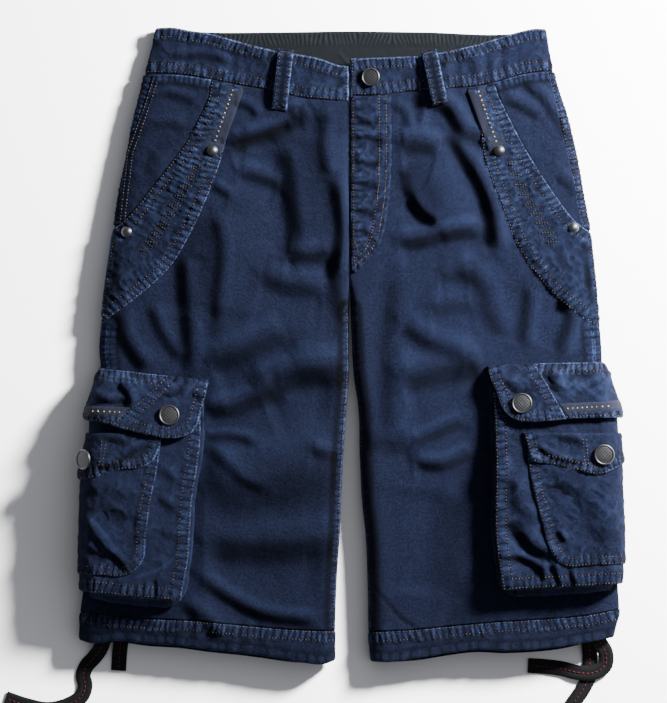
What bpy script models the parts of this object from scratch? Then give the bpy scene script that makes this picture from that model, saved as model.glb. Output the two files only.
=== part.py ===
"""Knee-length cargo shorts, laid flat with the front up.

Frame: metres, +X to the right as the front is seen, +Y towards the waist, +Z up.
The back lies on the plane z = 0. Sizes below are millimetres. A place on the garment
is given by x, measured from the centre line, and by down, measured from the top of
the waistband. Left and right are as seen from the front.
"""
import math
from collections import namedtuple
from functools import partial

import bmesh
import bpy
import numpy as np
from mathutils import Matrix, Vector

MM = 0.001

# ---------------------------------------------------------------- driving sizes
CENTRE_DOWN = 320.3        # down of the frame's origin
CENTRE_X = -0.1            # x of the frame's origin
CLOTH = 1.4                # wall of the panels
SEAM_GAP = 0.3             # between pieces that meet or lie on each other
LAY_GAP = 0.45             # under a piece that lies on a panel
SEAM_GROOVE = 0.75         # half the groove along a side seam, whose inner corners are a seam gap apart
BAND_WALL = 2.4            # doubled cloth of the waistband
BAND_PROUD = 0.5           # how far it stands above the panels
BAND_GROOVE = 1.5          # half the groove where its ends meet
HEM_WALL = 2.0             # folded cloth of the hem
POCKET_BAND_WALL = 2.0     # folded band along a hip pocket's opening
STRIP_WALL = 1.3
FLY_WALL = 1.4
PATCH_WALL = 1.4
LOOP_WALL = 1.5
GUSSET_WALL = 1.2
LINING_WALL = 1.0          # facings, woven tapes and the sewn-on corners of the flaps
HIP_TAPE_LIFT = 3.5        # over the pocket band
TAPE_RIVET_LIFT = 4.9
POCKET_RIVET_LIFT = 2.9
WAIST_BUTTON_LIFT = 1.1
FLAP_BUTTON_LIFT = 0.35
CROTCH_DOWN = 241.0        # the front seam starts to dip here
CROTCH_END = 290.0         # and has met the back here
INSEAM_HEIGHT = 9.0        # height of the inner leg seams
BUTTON_RADIUS = 10.3
WAIST_BUTTON_RADIUS = 9.2
RIVET_RADIUS = 5.3
TAPE_WIDTH = 15.0          # flat tape that ties the hems
TAPE_WALL = 1.3
LOOP_CLEARANCE = 4.8       # room for a belt under a belt loop
LOOP_SEAT = 0.5            # under its sewn ends

LEFT = -1
RIGHT = 1
SIDE_NAME = {LEFT: "left", RIGHT: "right"}

# ---------------------------------------------------------------- outline
Edge = namedtuple("Edge", "down left right")
OUTER_EDGE = [
    Edge(0, -195, 195), Edge(28, -201.5, 199.5), Edge(53, -207.5, 204.5), Edge(93, -217, 217),
    Edge(133, -225.5, 226), Edge(173, -232.5, 233), Edge(213, -239, 240.5), Edge(253, -245.5, 245),
    Edge(293, -249.5, 248.5), Edge(323, -252, 251), Edge(340, -250.5, 251.5), Edge(353, -249.5, 252.5),
    Edge(373, -254, 256), Edge(413, -257.5, 261), Edge(453, -263, 264), Edge(493, -265, 265.5),
    Edge(533, -265.5, 266), Edge(563, -268, 267.5), Edge(585, -271, 268.5), Edge(613, -272, 262.5),
    Edge(640, -272, 262),
]
INNER_EDGE = [
    Edge(0, -2.1, -0.9), Edge(100, -2.1, -0.9), Edge(200, -2.1, -0.9), Edge(240, -2.1, -0.8),
    Edge(275, -2.1, -0.4), Edge(310, -2.2, 0.7),
    Edge(358, -2.8, 4), Edge(373, -4, 6.5), Edge(433, -8, 9), Edge(473, -10, 11), Edge(513, -11.5, 15),
    Edge(533, -13, 16), Edge(573, -15, 17), Edge(613, -16, 18), Edge(640, -16, 20.5),
]

# heights of the front: crown of a leg, side seam, and how far in the edges round over
Height = namedtuple("Height", "down crown seam outer_round inner_round")
HEIGHTS = [
    Height(0, 13.0, 7.0, 16, 4), Height(50, 14.5, 7.5, 17, 4), Height(120, 18.5, 9.0, 22, 4),
    Height(200, 21.5, 10.0, 26, 5), Height(300, 23.5, 11.0, 30, 13), Height(360, 25.0, 12.0, 28, 18),
    Height(450, 26.0, 13.0, 26, 20), Height(560, 26.0, 13.0, 26, 20), Height(613, 24.0, 12.0, 24, 18),
    Height(640, 23.0, 11.5, 22, 16),
]
LEG_DOME = 0.10            # share of its height that the front falls from mid leg to its edges
BACK_ROUND = 2.6           # width of the back's rounded edge, in seam heights

Point = namedtuple("Point", "x down")
WAIST_TOP = {
    LEFT: [Point(-196, 0), Point(-176, 0), Point(-161, 3), Point(-141, 6), Point(-126, 10),
           Point(-101, 17), Point(-76, 23), Point(-51, 27), Point(-31, 31), Point(-14, 37), Point(0, 39)],
    RIGHT: [Point(-1, 31), Point(24, 30), Point(49, 29), Point(69, 28), Point(89, 25), Point(109, 21),
            Point(129, 16), Point(149, 10), Point(169, 4), Point(184, 1), Point(196, 1)],
}
WAIST_SEAM = {
    LEFT: [Point(-206, 46), Point(-171, 47), Point(-141, 52), Point(-116, 57), Point(-81, 63),
           Point(-51, 70), Point(-21, 73), Point(0, 74)],
    RIGHT: [Point(-1, 68), Point(24, 68), Point(49, 65), Point(74, 63), Point(99, 61), Point(129, 58),
            Point(149, 53), Point(169, 47), Point(189, 44), Point(204, 43)],
}
BACK_TOP = [Point(-196, 1), Point(-141, 4), Point(-81, 4), Point(-6, 3), Point(79, 4), Point(154, 6),
            Point(196, 2)]
BACK_SEAM_DOWN = 47.0
BACK_SPLIT_DOWN = 212.0    # each back is an upper and a lower piece, which meet above the crotch
HEM_SEAM = {
    LEFT: [Point(-269, 585), Point(-211, 591), Point(-151, 594), Point(-91, 600), Point(-51, 603),
           Point(-16, 604)],
    RIGHT: [Point(19, 605), Point(69, 602), Point(99, 599), Point(129, 596), Point(189, 592),
            Point(229, 589), Point(269, 582)],
}
HEM_EDGE = {
    LEFT: [Point(-273, 613), Point(-261, 616), Point(-233, 614), Point(-201, 617), Point(-171, 619),
           Point(-141, 623), Point(-111, 626), Point(-81, 630), Point(-51, 635), Point(-26, 637),
           Point(-16, 634)],
    RIGHT: [Point(21, 635), Point(39, 635), Point(69, 631), Point(99, 626), Point(124, 623),
            Point(154, 624), Point(179, 623), Point(209, 620), Point(239, 615), Point(261, 611)],
}
BACK_HEM_DROP = 3.5        # the back hem shows this far below the front one

# the largest folds of the fronts: troughs from one point to another; a negative depth is a ridge
Fold = namedtuple("Fold", "x0 down0 x1 down1 half_width depth")
FOLDS = {
    LEFT: [
        Fold(-11, 84, -12, 240, 8, 2.6), Fold(-116, 118, -51, 93, 10, 2.4),
        Fold(-68, 128, -61, 183, 10, 4.2), Fold(-61, 183, -51, 235, 10, 3.4),
        Fold(-133, 180, -136, 303, 11, 2.6), Fold(-163, 233, -171, 293, 10, 3.4),
        Fold(-171, 293, -166, 345, 10, 3.4), Fold(-229, 303, -203, 345, 10, 2.4),
        Fold(-91, 258, -25, 266, 11, 1.8), Fold(-78, 350, -8, 358, 12, 2.0),
        Fold(-144, 384, -91, 380, 12, 1.6), Fold(-146, 418, -106, 448, 12, 2.2),
        Fold(-78, 426, -15, 416, 12, 1.8), Fold(-136, 508, -15, 523, 13, 1.8),
        Fold(-146, 553, -81, 593, 12, 3.0), Fold(-95, 300, -60, 330, 16, -1.6),
    ],
    RIGHT: [
        Fold(79, 78, 129, 113, 10, 2.6), Fold(104, 123, 124, 168, 12, 4.2),
        Fold(124, 168, 141, 213, 12, 3.6), Fold(55, 165, 81, 197, 12, 2.6),
        Fold(55, 215, 123, 220, 11, 2.0), Fold(89, 241, 140, 258, 11, 1.8),
        Fold(133, 237, 147, 297, 11, 2.8), Fold(43, 295, 86, 312, 12, 1.8),
        Fold(33, 348, 133, 338, 12, 2.0), Fold(67, 438, 106, 435, 12, 1.8),
        Fold(177, 258, 171, 323, 10, 2.4), Fold(212, 290, 206, 333, 10, 2.0),
        Fold(19, 555, 66, 601, 9, 2.4), Fold(30, 120, 38, 180, 14, -1.4),
    ],
}

# ---------------------------------------------------------------- hip pockets
OPENING = {
    LEFT: [Point(-140, 50), Point(-144, 73), Point(-151, 88), Point(-166, 116), Point(-186, 143),
           Point(-206, 169), Point(-224, 191), Point(-233, 201)],
    RIGHT: [Point(143, 50), Point(150, 73), Point(157, 88), Point(172, 117), Point(192, 150),
            Point(211, 178), Point(222, 192), Point(231, 202)],
}
BAND_SEAM = {
    LEFT: [Point(-107, 55), Point(-118, 88), Point(-130, 133), Point(-146, 176), Point(-161, 208),
           Point(-181, 240), Point(-211, 268), Point(-241, 291), Point(-262, 302)],
    RIGHT: [Point(115, 55), Point(124, 83), Point(134, 138), Point(145, 168), Point(158, 201),
            Point(179, 240), Point(204, 269), Point(234, 293), Point(262, 312)],
}
SIDE_STRIP = {
    LEFT: [Point(-198, 46), Point(-205, 70), Point(-216, 103), Point(-223, 123), Point(-227, 153),
           Point(-230, 178), Point(-232, 198)],
    RIGHT: [Point(197, 43), Point(205, 78), Point(214, 118), Point(223, 158), Point(228, 188),
            Point(232, 203)],
}
HIP_TAPE = {LEFT: (Point(-117, 60), Point(-140, 125)), RIGHT: (Point(126, 61), Point(148, 124))}
HIP_TAPE_WIDTH = 20.0
TAPE_RIVET = {LEFT: Point(-139, 124), RIGHT: Point(148, 124)}
POCKET_RIVET = {LEFT: Point(-224, 205), RIGHT: Point(222, 201)}

# ---------------------------------------------------------------- fly and belt loops
FLY_EDGE = [Point(-1.0, 68), Point(-1.6, 110), Point(-3, 153), Point(-2, 200), Point(1, 243)]
FLY_STITCH = [Point(36, 68), Point(36, 140), Point(33, 180), Point(21, 224), Point(6, 241)]
LOOP_LINE = {LEFT: (Point(-65, 22), Point(-72, 83)), RIGHT: (Point(78, 23), Point(89, 77))}
LOOP_WIDTH = 16.0

# ---------------------------------------------------------------- cargo pockets
# the pocket's outer line at the side, its front edge, and how high it stands over the leg
Bag = namedtuple("Bag", "down side_left side_right front_left front_right rise")
BAG = [
    Bag(340, -254, 256, -149, 141, 5.0), Bag(358, -256, 260, -150, 141, 8.2),
    Bag(378, -260.5, 264.5, -150, 142, 10.5), Bag(413, -262.5, 267.5, -150, 143, 15.0),
    Bag(433, -267, 269, -152, 143.5, 17.0), Bag(473, -270, 270.5, -158, 143, 18.5),
    Bag(503, -270.5, 271.5, -160, 143, 18.5), Bag(533, -271, 272, -162, 146, 18.0),
    Bag(563, -271, 271, -168, 151, 17.0), Bag(580, -270.5, 269, -170, 153, 16.0),
]
FLAP_RAMP = 14.0           # the flap climbs from the leg to the pocket over this length
BAG_MOUTH = 15.5           # the pocket's mouth lies this far below the flap's seam
BAG_BOTTOM = {
    LEFT: [Point(-272, 563), Point(-251, 565), Point(-221, 568), Point(-186, 571), Point(-169, 573)],
    RIGHT: [Point(151, 562), Point(189, 560), Point(229, 558), Point(271, 556)],
}
FLAP_OVERHANG = 12.0       # the flap's sheet reaches this far past the pocket's front edge
FLAP_HANG = 4.0            # and hangs this far down the side of the leg at its seam
BAG_CORNER = 20.0          # rounding where the pocket turns down the side
BAG_FOOT_ROUND = 5.0       # and where it turns under the leg
BAG_LIP = 13.0             # what lies under the leg
GUSSET_SPREAD = 11.0       # the gusset stands out this far below the pocket's bottom
GUSSET_TURN_DOWN = 545.0   # its front run ends here
GUSSET_FRONT_SHARE = 0.5   # shares of its length in the front run and in the corner
GUSSET_TURN_SHARE = 0.2
GUSSET_PLEAT = 2.2         # depth of its pleat
GUSSET_SEAT = 0.8          # its top lies this far under the pocket's face, besides the seam gap
FLAP_TOP = {LEFT: [Point(-262, 340), Point(-226, 344), Point(-171, 350), Point(-142, 353)],
            RIGHT: [Point(136, 339), Point(199, 336), Point(271, 335)]}
FLAP = {
    LEFT: [Point(-142, 353), Point(-146, 373), Point(-150, 388), Point(-153, 398), Point(-159, 406),
           Point(-169, 410), Point(-186, 411), Point(-206, 407), Point(-223, 403), Point(-238, 398),
           Point(-280, 391)],
    RIGHT: [Point(136, 339), Point(139, 353), Point(146, 368), Point(149, 378), Point(156, 388),
            Point(164, 393), Point(182, 395), Point(197, 394), Point(214, 392), Point(280, 391)],
}
FLAP_DIAGONAL = {LEFT: (Point(-183, 351), Point(-239, 399)), RIGHT: (Point(182, 338), Point(214, 393))}
FLAP_TAPE = {LEFT: (Point(-238, 388), Point(-280, 386)), RIGHT: (Point(205, 384), Point(280, 380))}
FLAP_TAPE_WIDTH = 14.0
PATCH = {
    LEFT: [Point(-188, 407), Point(-189, 416), Point(-193, 443), Point(-199, 473), Point(-203, 503),
           Point(-205, 528), Point(-208, 534), Point(-216, 543), Point(-226, 548), Point(-280, 546)],
    RIGHT: [Point(175, 405), Point(177, 445), Point(182, 468), Point(189, 493), Point(194, 513),
            Point(201, 528), Point(214, 538), Point(280, 537)],
}
PATCH_FLAP = {
    LEFT: [Point(-188, 407), Point(-189, 416), Point(-196, 433), Point(-204, 438), Point(-231, 443),
           Point(-262, 452), Point(-280, 452)],
    RIGHT: [Point(171, 405), Point(175, 418), Point(179, 434), Point(199, 437), Point(224, 443),
            Point(249, 447), Point(261, 443), Point(280, 436)],
}
FLAP_BUTTON = {LEFT: Point(-181, 389), RIGHT: Point(170, 377)}
PATCH_BUTTON = {LEFT: Point(-264, 432), RIGHT: Point(251, 427)}
WAIST_BUTTON = Point(20, 50)

Room = namedtuple("Room", "below_seam room")
FLAP_ROOM = [Room(0, 0.4), Room(12, 0.9), Room(22, 1.4), Room(34, 2.5), Room(48, 4.2), Room(60, 5.3),
             Room(76, 5.7)]
BAG_PILLOW = 2.2           # the filled-out middle of the pocket's face

# ---------------------------------------------------------------- drawtapes
Way = namedtuple("Way", "x down z")
TAPE_ROUTES = {
    "drawtape_left_long": [
        Way(-246, 604, 6.4), Way(-248, 614, 6.0), Way(-251, 622, 5.0), Way(-258, 632, 1.9),
        Way(-266, 641, 0.9), Way(-269, 650, 0.9), Way(-267, 660, 0.9), Way(-270, 670, 0.9),
        Way(-283, 679, 0.9), Way(-305, 684, 0.9), Way(-326, 680, 0.9), Way(-347, 673, 0.9)],
    "drawtape_left_short": [
        Way(-229.5, 604, 3.2), Way(-230.5, 613, 3.2), Way(-231.5, 620, 3.0), Way(-232.5, 629, 1.6),
        Way(-233, 637, 0.9), Way(-233.5, 645, 0.9)],
    "drawtape_right_long": [
        Way(235, 602, 5.4), Way(237, 611, 5.2), Way(239, 619, 4.2), Way(240, 629, 1.7), Way(240, 638, 0.9),
        Way(239, 651, 0.9), Way(233, 664, 0.9), Way(224, 677, 0.9), Way(216, 690, 0.9),
        Way(210, 705, 0.9)],
    "drawtape_right_short": [
        Way(242, 600, 10.4), Way(244.5, 608, 10.0), Way(249.5, 616, 8.8), Way(256, 628, 4.8),
        Way(255, 640, 3.0), Way(244, 647, 3.0), Way(229, 647, 2.8), Way(211, 643, 1.2),
        Way(194, 641, 0.9), Way(178, 640, 0.9)],
}

# ---------------------------------------------------------------- finishes: colour, roughness, metallic
Finish = namedtuple("Finish", "colour roughness metallic")
FINISHES = {
    "navy_twill": Finish((0.022, 0.042, 0.135), 0.85, 0.0),
    "navy_twill_worn": Finish((0.035, 0.062, 0.175), 0.85, 0.0),
    "dark_facing": Finish((0.010, 0.016, 0.020), 0.85, 0.0),
    "herringbone_tape": Finish((0.012, 0.015, 0.045), 0.8, 0.0),
    "antique_pewter": Finish((0.22, 0.21, 0.20), 0.4, 1.0),
}


def curve_through(stations, values):
    """A smooth value of position: cubic pieces through the stations with neighbour slopes."""
    stations = np.asarray(stations, float)
    values = np.asarray(values, float)
    slopes = np.gradient(values, stations)

    def value_at(position):
        place = np.clip(position, stations[0], stations[-1])
        index = np.clip(np.searchsorted(stations, place) - 1, 0, len(stations) - 2)
        span = stations[index + 1] - stations[index]
        t = (place - stations[index]) / span
        start, end = values[index], values[index + 1]
        rise = span * slopes[index]
        fall = span * slopes[index + 1]
        return (start * (2 * t**3 - 3 * t**2 + 1) + end * (3 * t**2 - 2 * t**3)
                + rise * (t**3 - 2 * t**2 + t) + fall * (t**3 - t**2))
    return value_at


def column(rows, name):
    return [getattr(row, name) for row in rows]


def by_x(points):
    """The down of a line that runs across the garment, as a function of x."""
    ordered = sorted(points)
    return curve_through(column(ordered, "x"), column(ordered, "down"))


def smoothstep(t):
    t = np.clip(t, 0.0, 1.0)
    return t * t * (3 - 2 * t)


crown_at = curve_through(column(HEIGHTS, "down"), column(HEIGHTS, "crown"))
seam_height_at = curve_through(column(HEIGHTS, "down"), column(HEIGHTS, "seam"))
outer_round_at = curve_through(column(HEIGHTS, "down"), column(HEIGHTS, "outer_round"))
inner_round_at = curve_through(column(HEIGHTS, "down"), column(HEIGHTS, "inner_round"))
outer_at = {side: curve_through(column(OUTER_EDGE, "down"), column(OUTER_EDGE, SIDE_NAME[side]))
            for side in (LEFT, RIGHT)}
inner_at = {side: curve_through(column(INNER_EDGE, "down"), column(INNER_EDGE, SIDE_NAME[side]))
            for side in (LEFT, RIGHT)}
waist_top = {side: by_x(WAIST_TOP[side]) for side in (LEFT, RIGHT)}
waist_seam = {side: by_x(WAIST_SEAM[side]) for side in (LEFT, RIGHT)}
hem_seam = {side: by_x(HEM_SEAM[side]) for side in (LEFT, RIGHT)}
hem_edge = {side: by_x(HEM_EDGE[side]) for side in (LEFT, RIGHT)}
bag_bottom = {side: by_x(BAG_BOTTOM[side]) for side in (LEFT, RIGHT)}
bag_side = {side: curve_through(column(BAG, "down"), column(BAG, "side_" + SIDE_NAME[side]))
            for side in (LEFT, RIGHT)}
bag_front = {side: curve_through(column(BAG, "down"), column(BAG, "front_" + SIDE_NAME[side]))
             for side in (LEFT, RIGHT)}
bag_rise = curve_through(column(BAG, "down"), column(BAG, "rise"))
back_top = by_x(BACK_TOP)
flap_seam = {side: by_x(FLAP_TOP[side]) for side in (LEFT, RIGHT)}


def fold_relief(side, x, down):
    """Height that the folds add: along each fold a trough with a soft cross-section and tapered ends."""
    relief = np.zeros_like(x, dtype=float)
    for fold in FOLDS[side]:
        run_x = fold.x1 - fold.x0
        run_down = fold.down1 - fold.down0
        length = math.hypot(run_x, run_down)
        along = ((x - fold.x0) * run_x + (down - fold.down0) * run_down) / length
        across = ((x - fold.x0) * run_down - (down - fold.down0) * run_x) / length
        past = np.maximum(np.maximum(-along, along - length), 0.0)
        relief -= fold.depth * np.exp(-(across / fold.half_width)**2 - (past / (1.5 * fold.half_width))**2)
    return relief


def inner_seam_height(down, crown):
    """Height of a front's inner edge: the crown above the crotch, the inseam below it."""
    drop = smoothstep((down - CROTCH_DOWN) / (CROTCH_END - CROTCH_DOWN))
    return crown + (INSEAM_HEIGHT + SEAM_GROOVE - crown) * drop


def front_height(side, x, down):
    """Height of a front's outer surface over a place on the garment."""
    outer, inner = outer_at[side](down), inner_at[side](down)
    across = np.clip((x - outer) / (inner - outer), 0.0, 1.0)
    crown = crown_at(down) * (1 - LEG_DOME * (2 * across - 1)**2)
    from_outer = np.abs(x - outer)
    from_inner = np.abs(x - inner)
    outer_reach = np.clip(1 - np.clip((x - outer) * -side, 0, None) / outer_round_at(down), 0, 1)
    inner_reach = np.clip(1 - np.clip((inner - x) * -side, 0, None) / inner_round_at(down), 0, 1)
    calm = np.clip(np.minimum(from_outer, from_inner) / 25.0, 0, 1)
    top = crown + fold_relief(side, x, down) * smoothstep(calm * 0.75 + 0.25 * (down < CROTCH_END))
    outer_rise = np.sqrt(1 - outer_reach**2)
    inner_rise = np.sqrt(1 - inner_reach**2)
    seam = seam_height_at(down) + SEAM_GROOVE
    inner_seam = inner_seam_height(down, crown)
    on_outer = across < 0.5
    return np.where(on_outer, seam + (top - seam) * outer_rise,
                    inner_seam + (top - inner_seam) * inner_rise)


def back_height(side, x, down):
    """Height of a back's under surface: flat on the ground, rolled up to meet the front."""
    outer, inner = outer_at[side](down), inner_at[side](down)
    seam = seam_height_at(down) - SEAM_GROOVE
    crotch = smoothstep((down - CROTCH_DOWN + 25) / (CROTCH_END - CROTCH_DOWN + 25))
    inner_seam = (INSEAM_HEIGHT - SEAM_GROOVE) * crotch
    outer_reach = np.clip(1 - (x - outer) * -side / (BACK_ROUND * seam), 0, 1)
    inner_reach = np.clip(1 - (inner - x) * -side / (BACK_ROUND * INSEAM_HEIGHT), 0, 1)
    return (seam * (1 - np.sqrt(1 - outer_reach**2))
            + inner_seam * (1 - np.sqrt(1 - inner_reach**2)))


def eased(share, outer_share, inner_share, outer_width, inner_width, width):
    """Distance from the outer edge: columns crowd as a cosine in the two rounded edges."""
    mid_share = 1 - outer_share - inner_share
    mid_width = width - outer_width - inner_width
    outer_angle = np.clip(share / outer_share, 0, 1) * math.pi / 2
    inner_angle = np.clip((1 - share) / inner_share, 0, 1) * math.pi / 2
    middle = np.clip((share - outer_share) / mid_share, 0, 1) * mid_width
    return (outer_width * (1 - np.cos(outer_angle)) + middle
            + inner_width * np.cos(inner_angle))


def to_frame(x, down, z):
    """Garment millimetres to the part's frame in metres."""
    return (x - CENTRE_X) * MM, (CENTRE_DOWN - down) * MM, z * MM


# ---------------------------------------------------------------- building helpers
def finish_material(name):
    material = bpy.data.materials.get(name)
    if material is None:
        finish = FINISHES[name]
        material = bpy.data.materials.new(name)
        material.use_nodes = True
        shader = material.node_tree.nodes["Principled BSDF"]
        shader.inputs["Base Color"].default_value = (*finish.colour, 1.0)
        shader.inputs["Roughness"].default_value = finish.roughness
        shader.inputs["Metallic"].default_value = finish.metallic
        material.diffuse_color = (*finish.colour, 1.0)
    return material


def add_object(name, mesh, finish, parts, root):
    piece = bpy.data.objects.new(name, mesh)
    mesh.materials.append(finish_material(finish))
    mesh.shade_smooth()
    parts.objects.link(piece)
    piece.parent = root
    return piece


def mapped_grid(name, columns, rows, shape, outward):
    """A grid whose points shape(across, along) places, facing the outward direction."""
    mesh = bpy.data.meshes.new(name)
    bm = bmesh.new()
    bmesh.ops.create_grid(bm, x_segments=columns, y_segments=rows, size=0.5)
    flat = np.array([vert.co[:2] for vert in bm.verts]) + 0.5
    places = np.column_stack(to_frame(*shape(flat[:, 0], flat[:, 1])))
    for vert, place in zip(bm.verts, places):
        vert.co = place
    bm.normal_update()
    facing = sum((face.normal * face.calc_area() for face in bm.faces), Vector())
    if facing.dot(Vector(outward)) < 0:
        bmesh.ops.reverse_faces(bm, faces=bm.faces)
    bm.to_mesh(mesh)
    bm.free()
    return mesh


def thicken(piece, wall, inwards=True):
    """Give a sheet its wall, on its inner side unless told otherwise."""
    modifier = piece.modifiers.new("wall", "SOLIDIFY")
    modifier.thickness = wall * MM
    modifier.offset = -1.0 if inwards else 1.0
    modifier.use_even_offset = False
    return modifier


def moved_out(mesh, name, distance):
    """A copy of a sheet, each point moved along its normal by a distance in millimetres."""
    copy = mesh.copy()
    copy.name = name
    copy.materials.clear()
    normals = [vert.normal.copy() for vert in mesh.vertices]
    for vert, normal in zip(copy.vertices, normals):
        vert.co = vert.co + normal * distance * MM
    return copy


def prism(name, outline, low, high, cutters):
    """A closed upright block over an outline of garment points, used to cut a layer to shape."""
    mesh = bpy.data.meshes.new(name)
    bm = bmesh.new()
    ring = [bm.verts.new(to_frame(point[0], point[1], low)) for point in outline]
    base = bm.faces.new(ring)
    top = bmesh.ops.extrude_face_region(bm, geom=[base])["geom"]
    raised = [item for item in top if isinstance(item, bmesh.types.BMVert)]
    bmesh.ops.translate(bm, verts=raised, vec=(0, 0, (high - low) * MM))
    bmesh.ops.recalc_face_normals(bm, faces=bm.faces)
    if bm.calc_volume(signed=True) < 0:
        bmesh.ops.reverse_faces(bm, faces=bm.faces)
    bm.to_mesh(mesh)
    bm.free()
    cutter = bpy.data.objects.new(name, mesh)
    cutter.hide_render = True
    cutter.display_type = "WIRE"
    cutters.objects.link(cutter)
    return cutter


def smooth_path(points, count):
    """Evenly spread points on a smooth curve through a line of points."""
    places = np.array([tuple(point) for point in points], float)
    runs = np.concatenate([[0.0], np.cumsum(np.linalg.norm(np.diff(places, axis=0), axis=1))])
    stations = np.linspace(0, runs[-1], count)
    return np.column_stack([curve_through(runs, axis)(stations) for axis in places.T])


def strip_outline(start, end, width):
    """Corners of a straight strip between two garment points."""
    run = Vector((end.x - start.x, end.down - start.down)).normalized()
    half = Vector((-run.y, run.x)) * width / 2
    return [(start.x + half.x, start.down + half.y), (end.x + half.x, end.down + half.y),
            (end.x - half.x, end.down - half.y), (start.x - half.x, start.down - half.y)]


def laid_piece(name, sheet, outline, lift, wall, finish, groups, low=-5.0, high=90.0):
    """A layer that lies on a sheet: its points moved out, given a wall and cut to an outline."""
    parts, cutters, root = groups
    piece = add_object(name, moved_out(sheet, name, lift), finish, parts, root)
    thicken(piece, wall, inwards=False)
    cut = piece.modifiers.new("outline", "BOOLEAN")
    cut.operation = "INTERSECT"
    cut.object = prism(name + "_cutter", outline, low, high, cutters)
    return piece


def turned_piece(name, profile, steps, finish, groups):
    """A round piece: a profile of (radius, height) turned about Z, rounded at its centre."""
    parts, _, root = groups
    mesh = bpy.data.meshes.new(name)
    points = [(radius * MM, 0.0, height * MM) for radius, height in profile]
    mesh.from_pydata(points, [(i, i + 1) for i in range(len(points) - 1)], [])
    piece = add_object(name, mesh, finish, parts, root)
    screw = piece.modifiers.new("turn", "SCREW")
    screw.steps = steps
    screw.render_steps = steps
    screw.use_merge_vertices = True
    screw.merge_threshold = 0.00001
    screw.use_smooth_shade = True
    return piece


def seat(piece, height, x, down, lift, step=3.0):
    """Stand a round piece on a surface: height(x, down), facing out along its slope."""
    def place(at_x, at_down):
        z = float(height(np.array([at_x]), np.array([at_down]))[0])
        return Vector(to_frame(at_x, at_down, z))
    across = place(x + step, down) - place(x - step, down)
    upward = place(x, down - step) - place(x, down + step)
    normal = across.cross(upward).normalized()
    centre = place(x, down) + normal * lift * MM
    piece.matrix_world = Matrix.Translation(centre) @ normal.to_track_quat("Z", "Y").to_matrix().to_4x4()
    return piece


# ---------------------------------------------------------------- panels
FRONT_COLUMNS = 18
FRONT_ROWS = 34
OUTER_SHARE = 4 / FRONT_COLUMNS
INNER_SHARE = 3 / FRONT_COLUMNS
BACK_COLUMNS = 10
UPPER_BACK_ROWS = 4
LOWER_BACK_ROWS = 8
BACK_OUTER_SHARE = 4 / BACK_COLUMNS
BACK_INNER_SHARE = 3 / BACK_COLUMNS


def back_outer_round(down):
    return BACK_ROUND * seam_height_at(down)


def back_inner_round(down):
    return BACK_ROUND * INSEAM_HEIGHT + 0 * down


def spread_place(side, across, along, top_line, bottom_line, outer_width, inner_width,
                 outer_share, inner_share):
    """x and down of a grid point between two lines: x follows the edges at its own down."""
    down = top_line(outer_at[side](along * 0)) + 0 * along
    for _ in range(6):
        outer, inner = outer_at[side](down), inner_at[side](down)
        distance = eased(across, outer_share, inner_share, outer_width(down), inner_width(down),
                         np.abs(inner - outer))
        x = outer - side * distance
        down = top_line(x) + (bottom_line(x) - top_line(x)) * along
    return x, down


def back_hem_drop(share):
    """How far the back hangs below the front: nothing at its side seams, the full drop between them."""
    return BACK_HEM_DROP * smoothstep(np.minimum(share, 1 - share) * 4)


def front_sheet(side):
    def shape(across, along):
        x, down = spread_place(side, across, along,
                               lambda at: waist_seam[side](at) + SEAM_GAP / 2,
                               lambda at: hem_seam[side](at) - SEAM_GAP / 2,
                               outer_round_at, inner_round_at, OUTER_SHARE, INNER_SHARE)
        return x, down, front_height(side, x, down)
    return mapped_grid("front_" + SIDE_NAME[side], FRONT_COLUMNS, FRONT_ROWS, shape, (0, 0, 1))


def back_sheet(side, name, rows, top_line, bottom_line, drop):
    """One piece of a back, between two lines; drop says how far its foot hangs below the line."""
    def shape(across, along):
        x, down = spread_place(side, across, along,
                               lambda at: top_line(at) + SEAM_GAP / 2,
                               lambda at: bottom_line(at) + drop * back_hem_drop(across) - SEAM_GAP / 2,
                               back_outer_round, back_inner_round, BACK_OUTER_SHARE, BACK_INNER_SHARE)
        return x, down, back_height(side, x, down)
    return mapped_grid(name + SIDE_NAME[side], BACK_COLUMNS, rows, shape, (0, 0, -1))


def level_line(down):
    """A line straight across the garment."""
    return lambda at: down + 0 * at


def waistband_front_sheet(side, proud):
    def shape(across, along):
        x, down = spread_place(side, across, along,
                               waist_top[side], lambda at: waist_seam[side](at) - SEAM_GAP / 2,
                               outer_round_at, inner_round_at, OUTER_SHARE, INNER_SHARE)
        return x, down, front_height(side, x, down) + proud
    return mapped_grid("waistband_" + SIDE_NAME[side], FRONT_COLUMNS, 2, shape, (0, 0, 1))


def waistband_back_sheet():
    """The back waistband: flat on the ground, its two ends rolled up to the side seams."""
    def shape(across, along):
        down = back_top(0 * along) + 0 * along
        for _ in range(6):
            left, right = outer_at[LEFT](down), outer_at[RIGHT](down)
            roll = BACK_ROUND * seam_height_at(down)
            x = left + eased(across, 0.28, 0.28, roll, roll, right - left)
            down = back_top(x) + (BACK_SEAM_DOWN - SEAM_GAP / 2 - back_top(x)) * along
        seam = seam_height_at(down) - BAND_GROOVE
        reach_left = np.clip(1 - (x - left) / roll, 0, 1)
        reach_right = np.clip(1 - (right - x) / roll, 0, 1)
        reach = np.maximum(reach_left, reach_right)
        return x, down, seam * (1 - np.sqrt(1 - reach**2))
    return mapped_grid("waistband_back", 14, 3, shape, (0, 0, -1))


def waistband_facing_sheet(height):
    """The dark facing inside the back waistband, seen over the front's lower top edge."""
    half_left, half_right = -172.0, 172.0

    def shape(across, along):
        x = half_left + (half_right - half_left) * across
        top = back_top(x) + 1.0
        return x, top + (BACK_SEAM_DOWN - 1.0 - top) * along, height + 0 * x
    return mapped_grid("waistband_facing", 8, 1, shape, (0, 0, 1))


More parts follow.
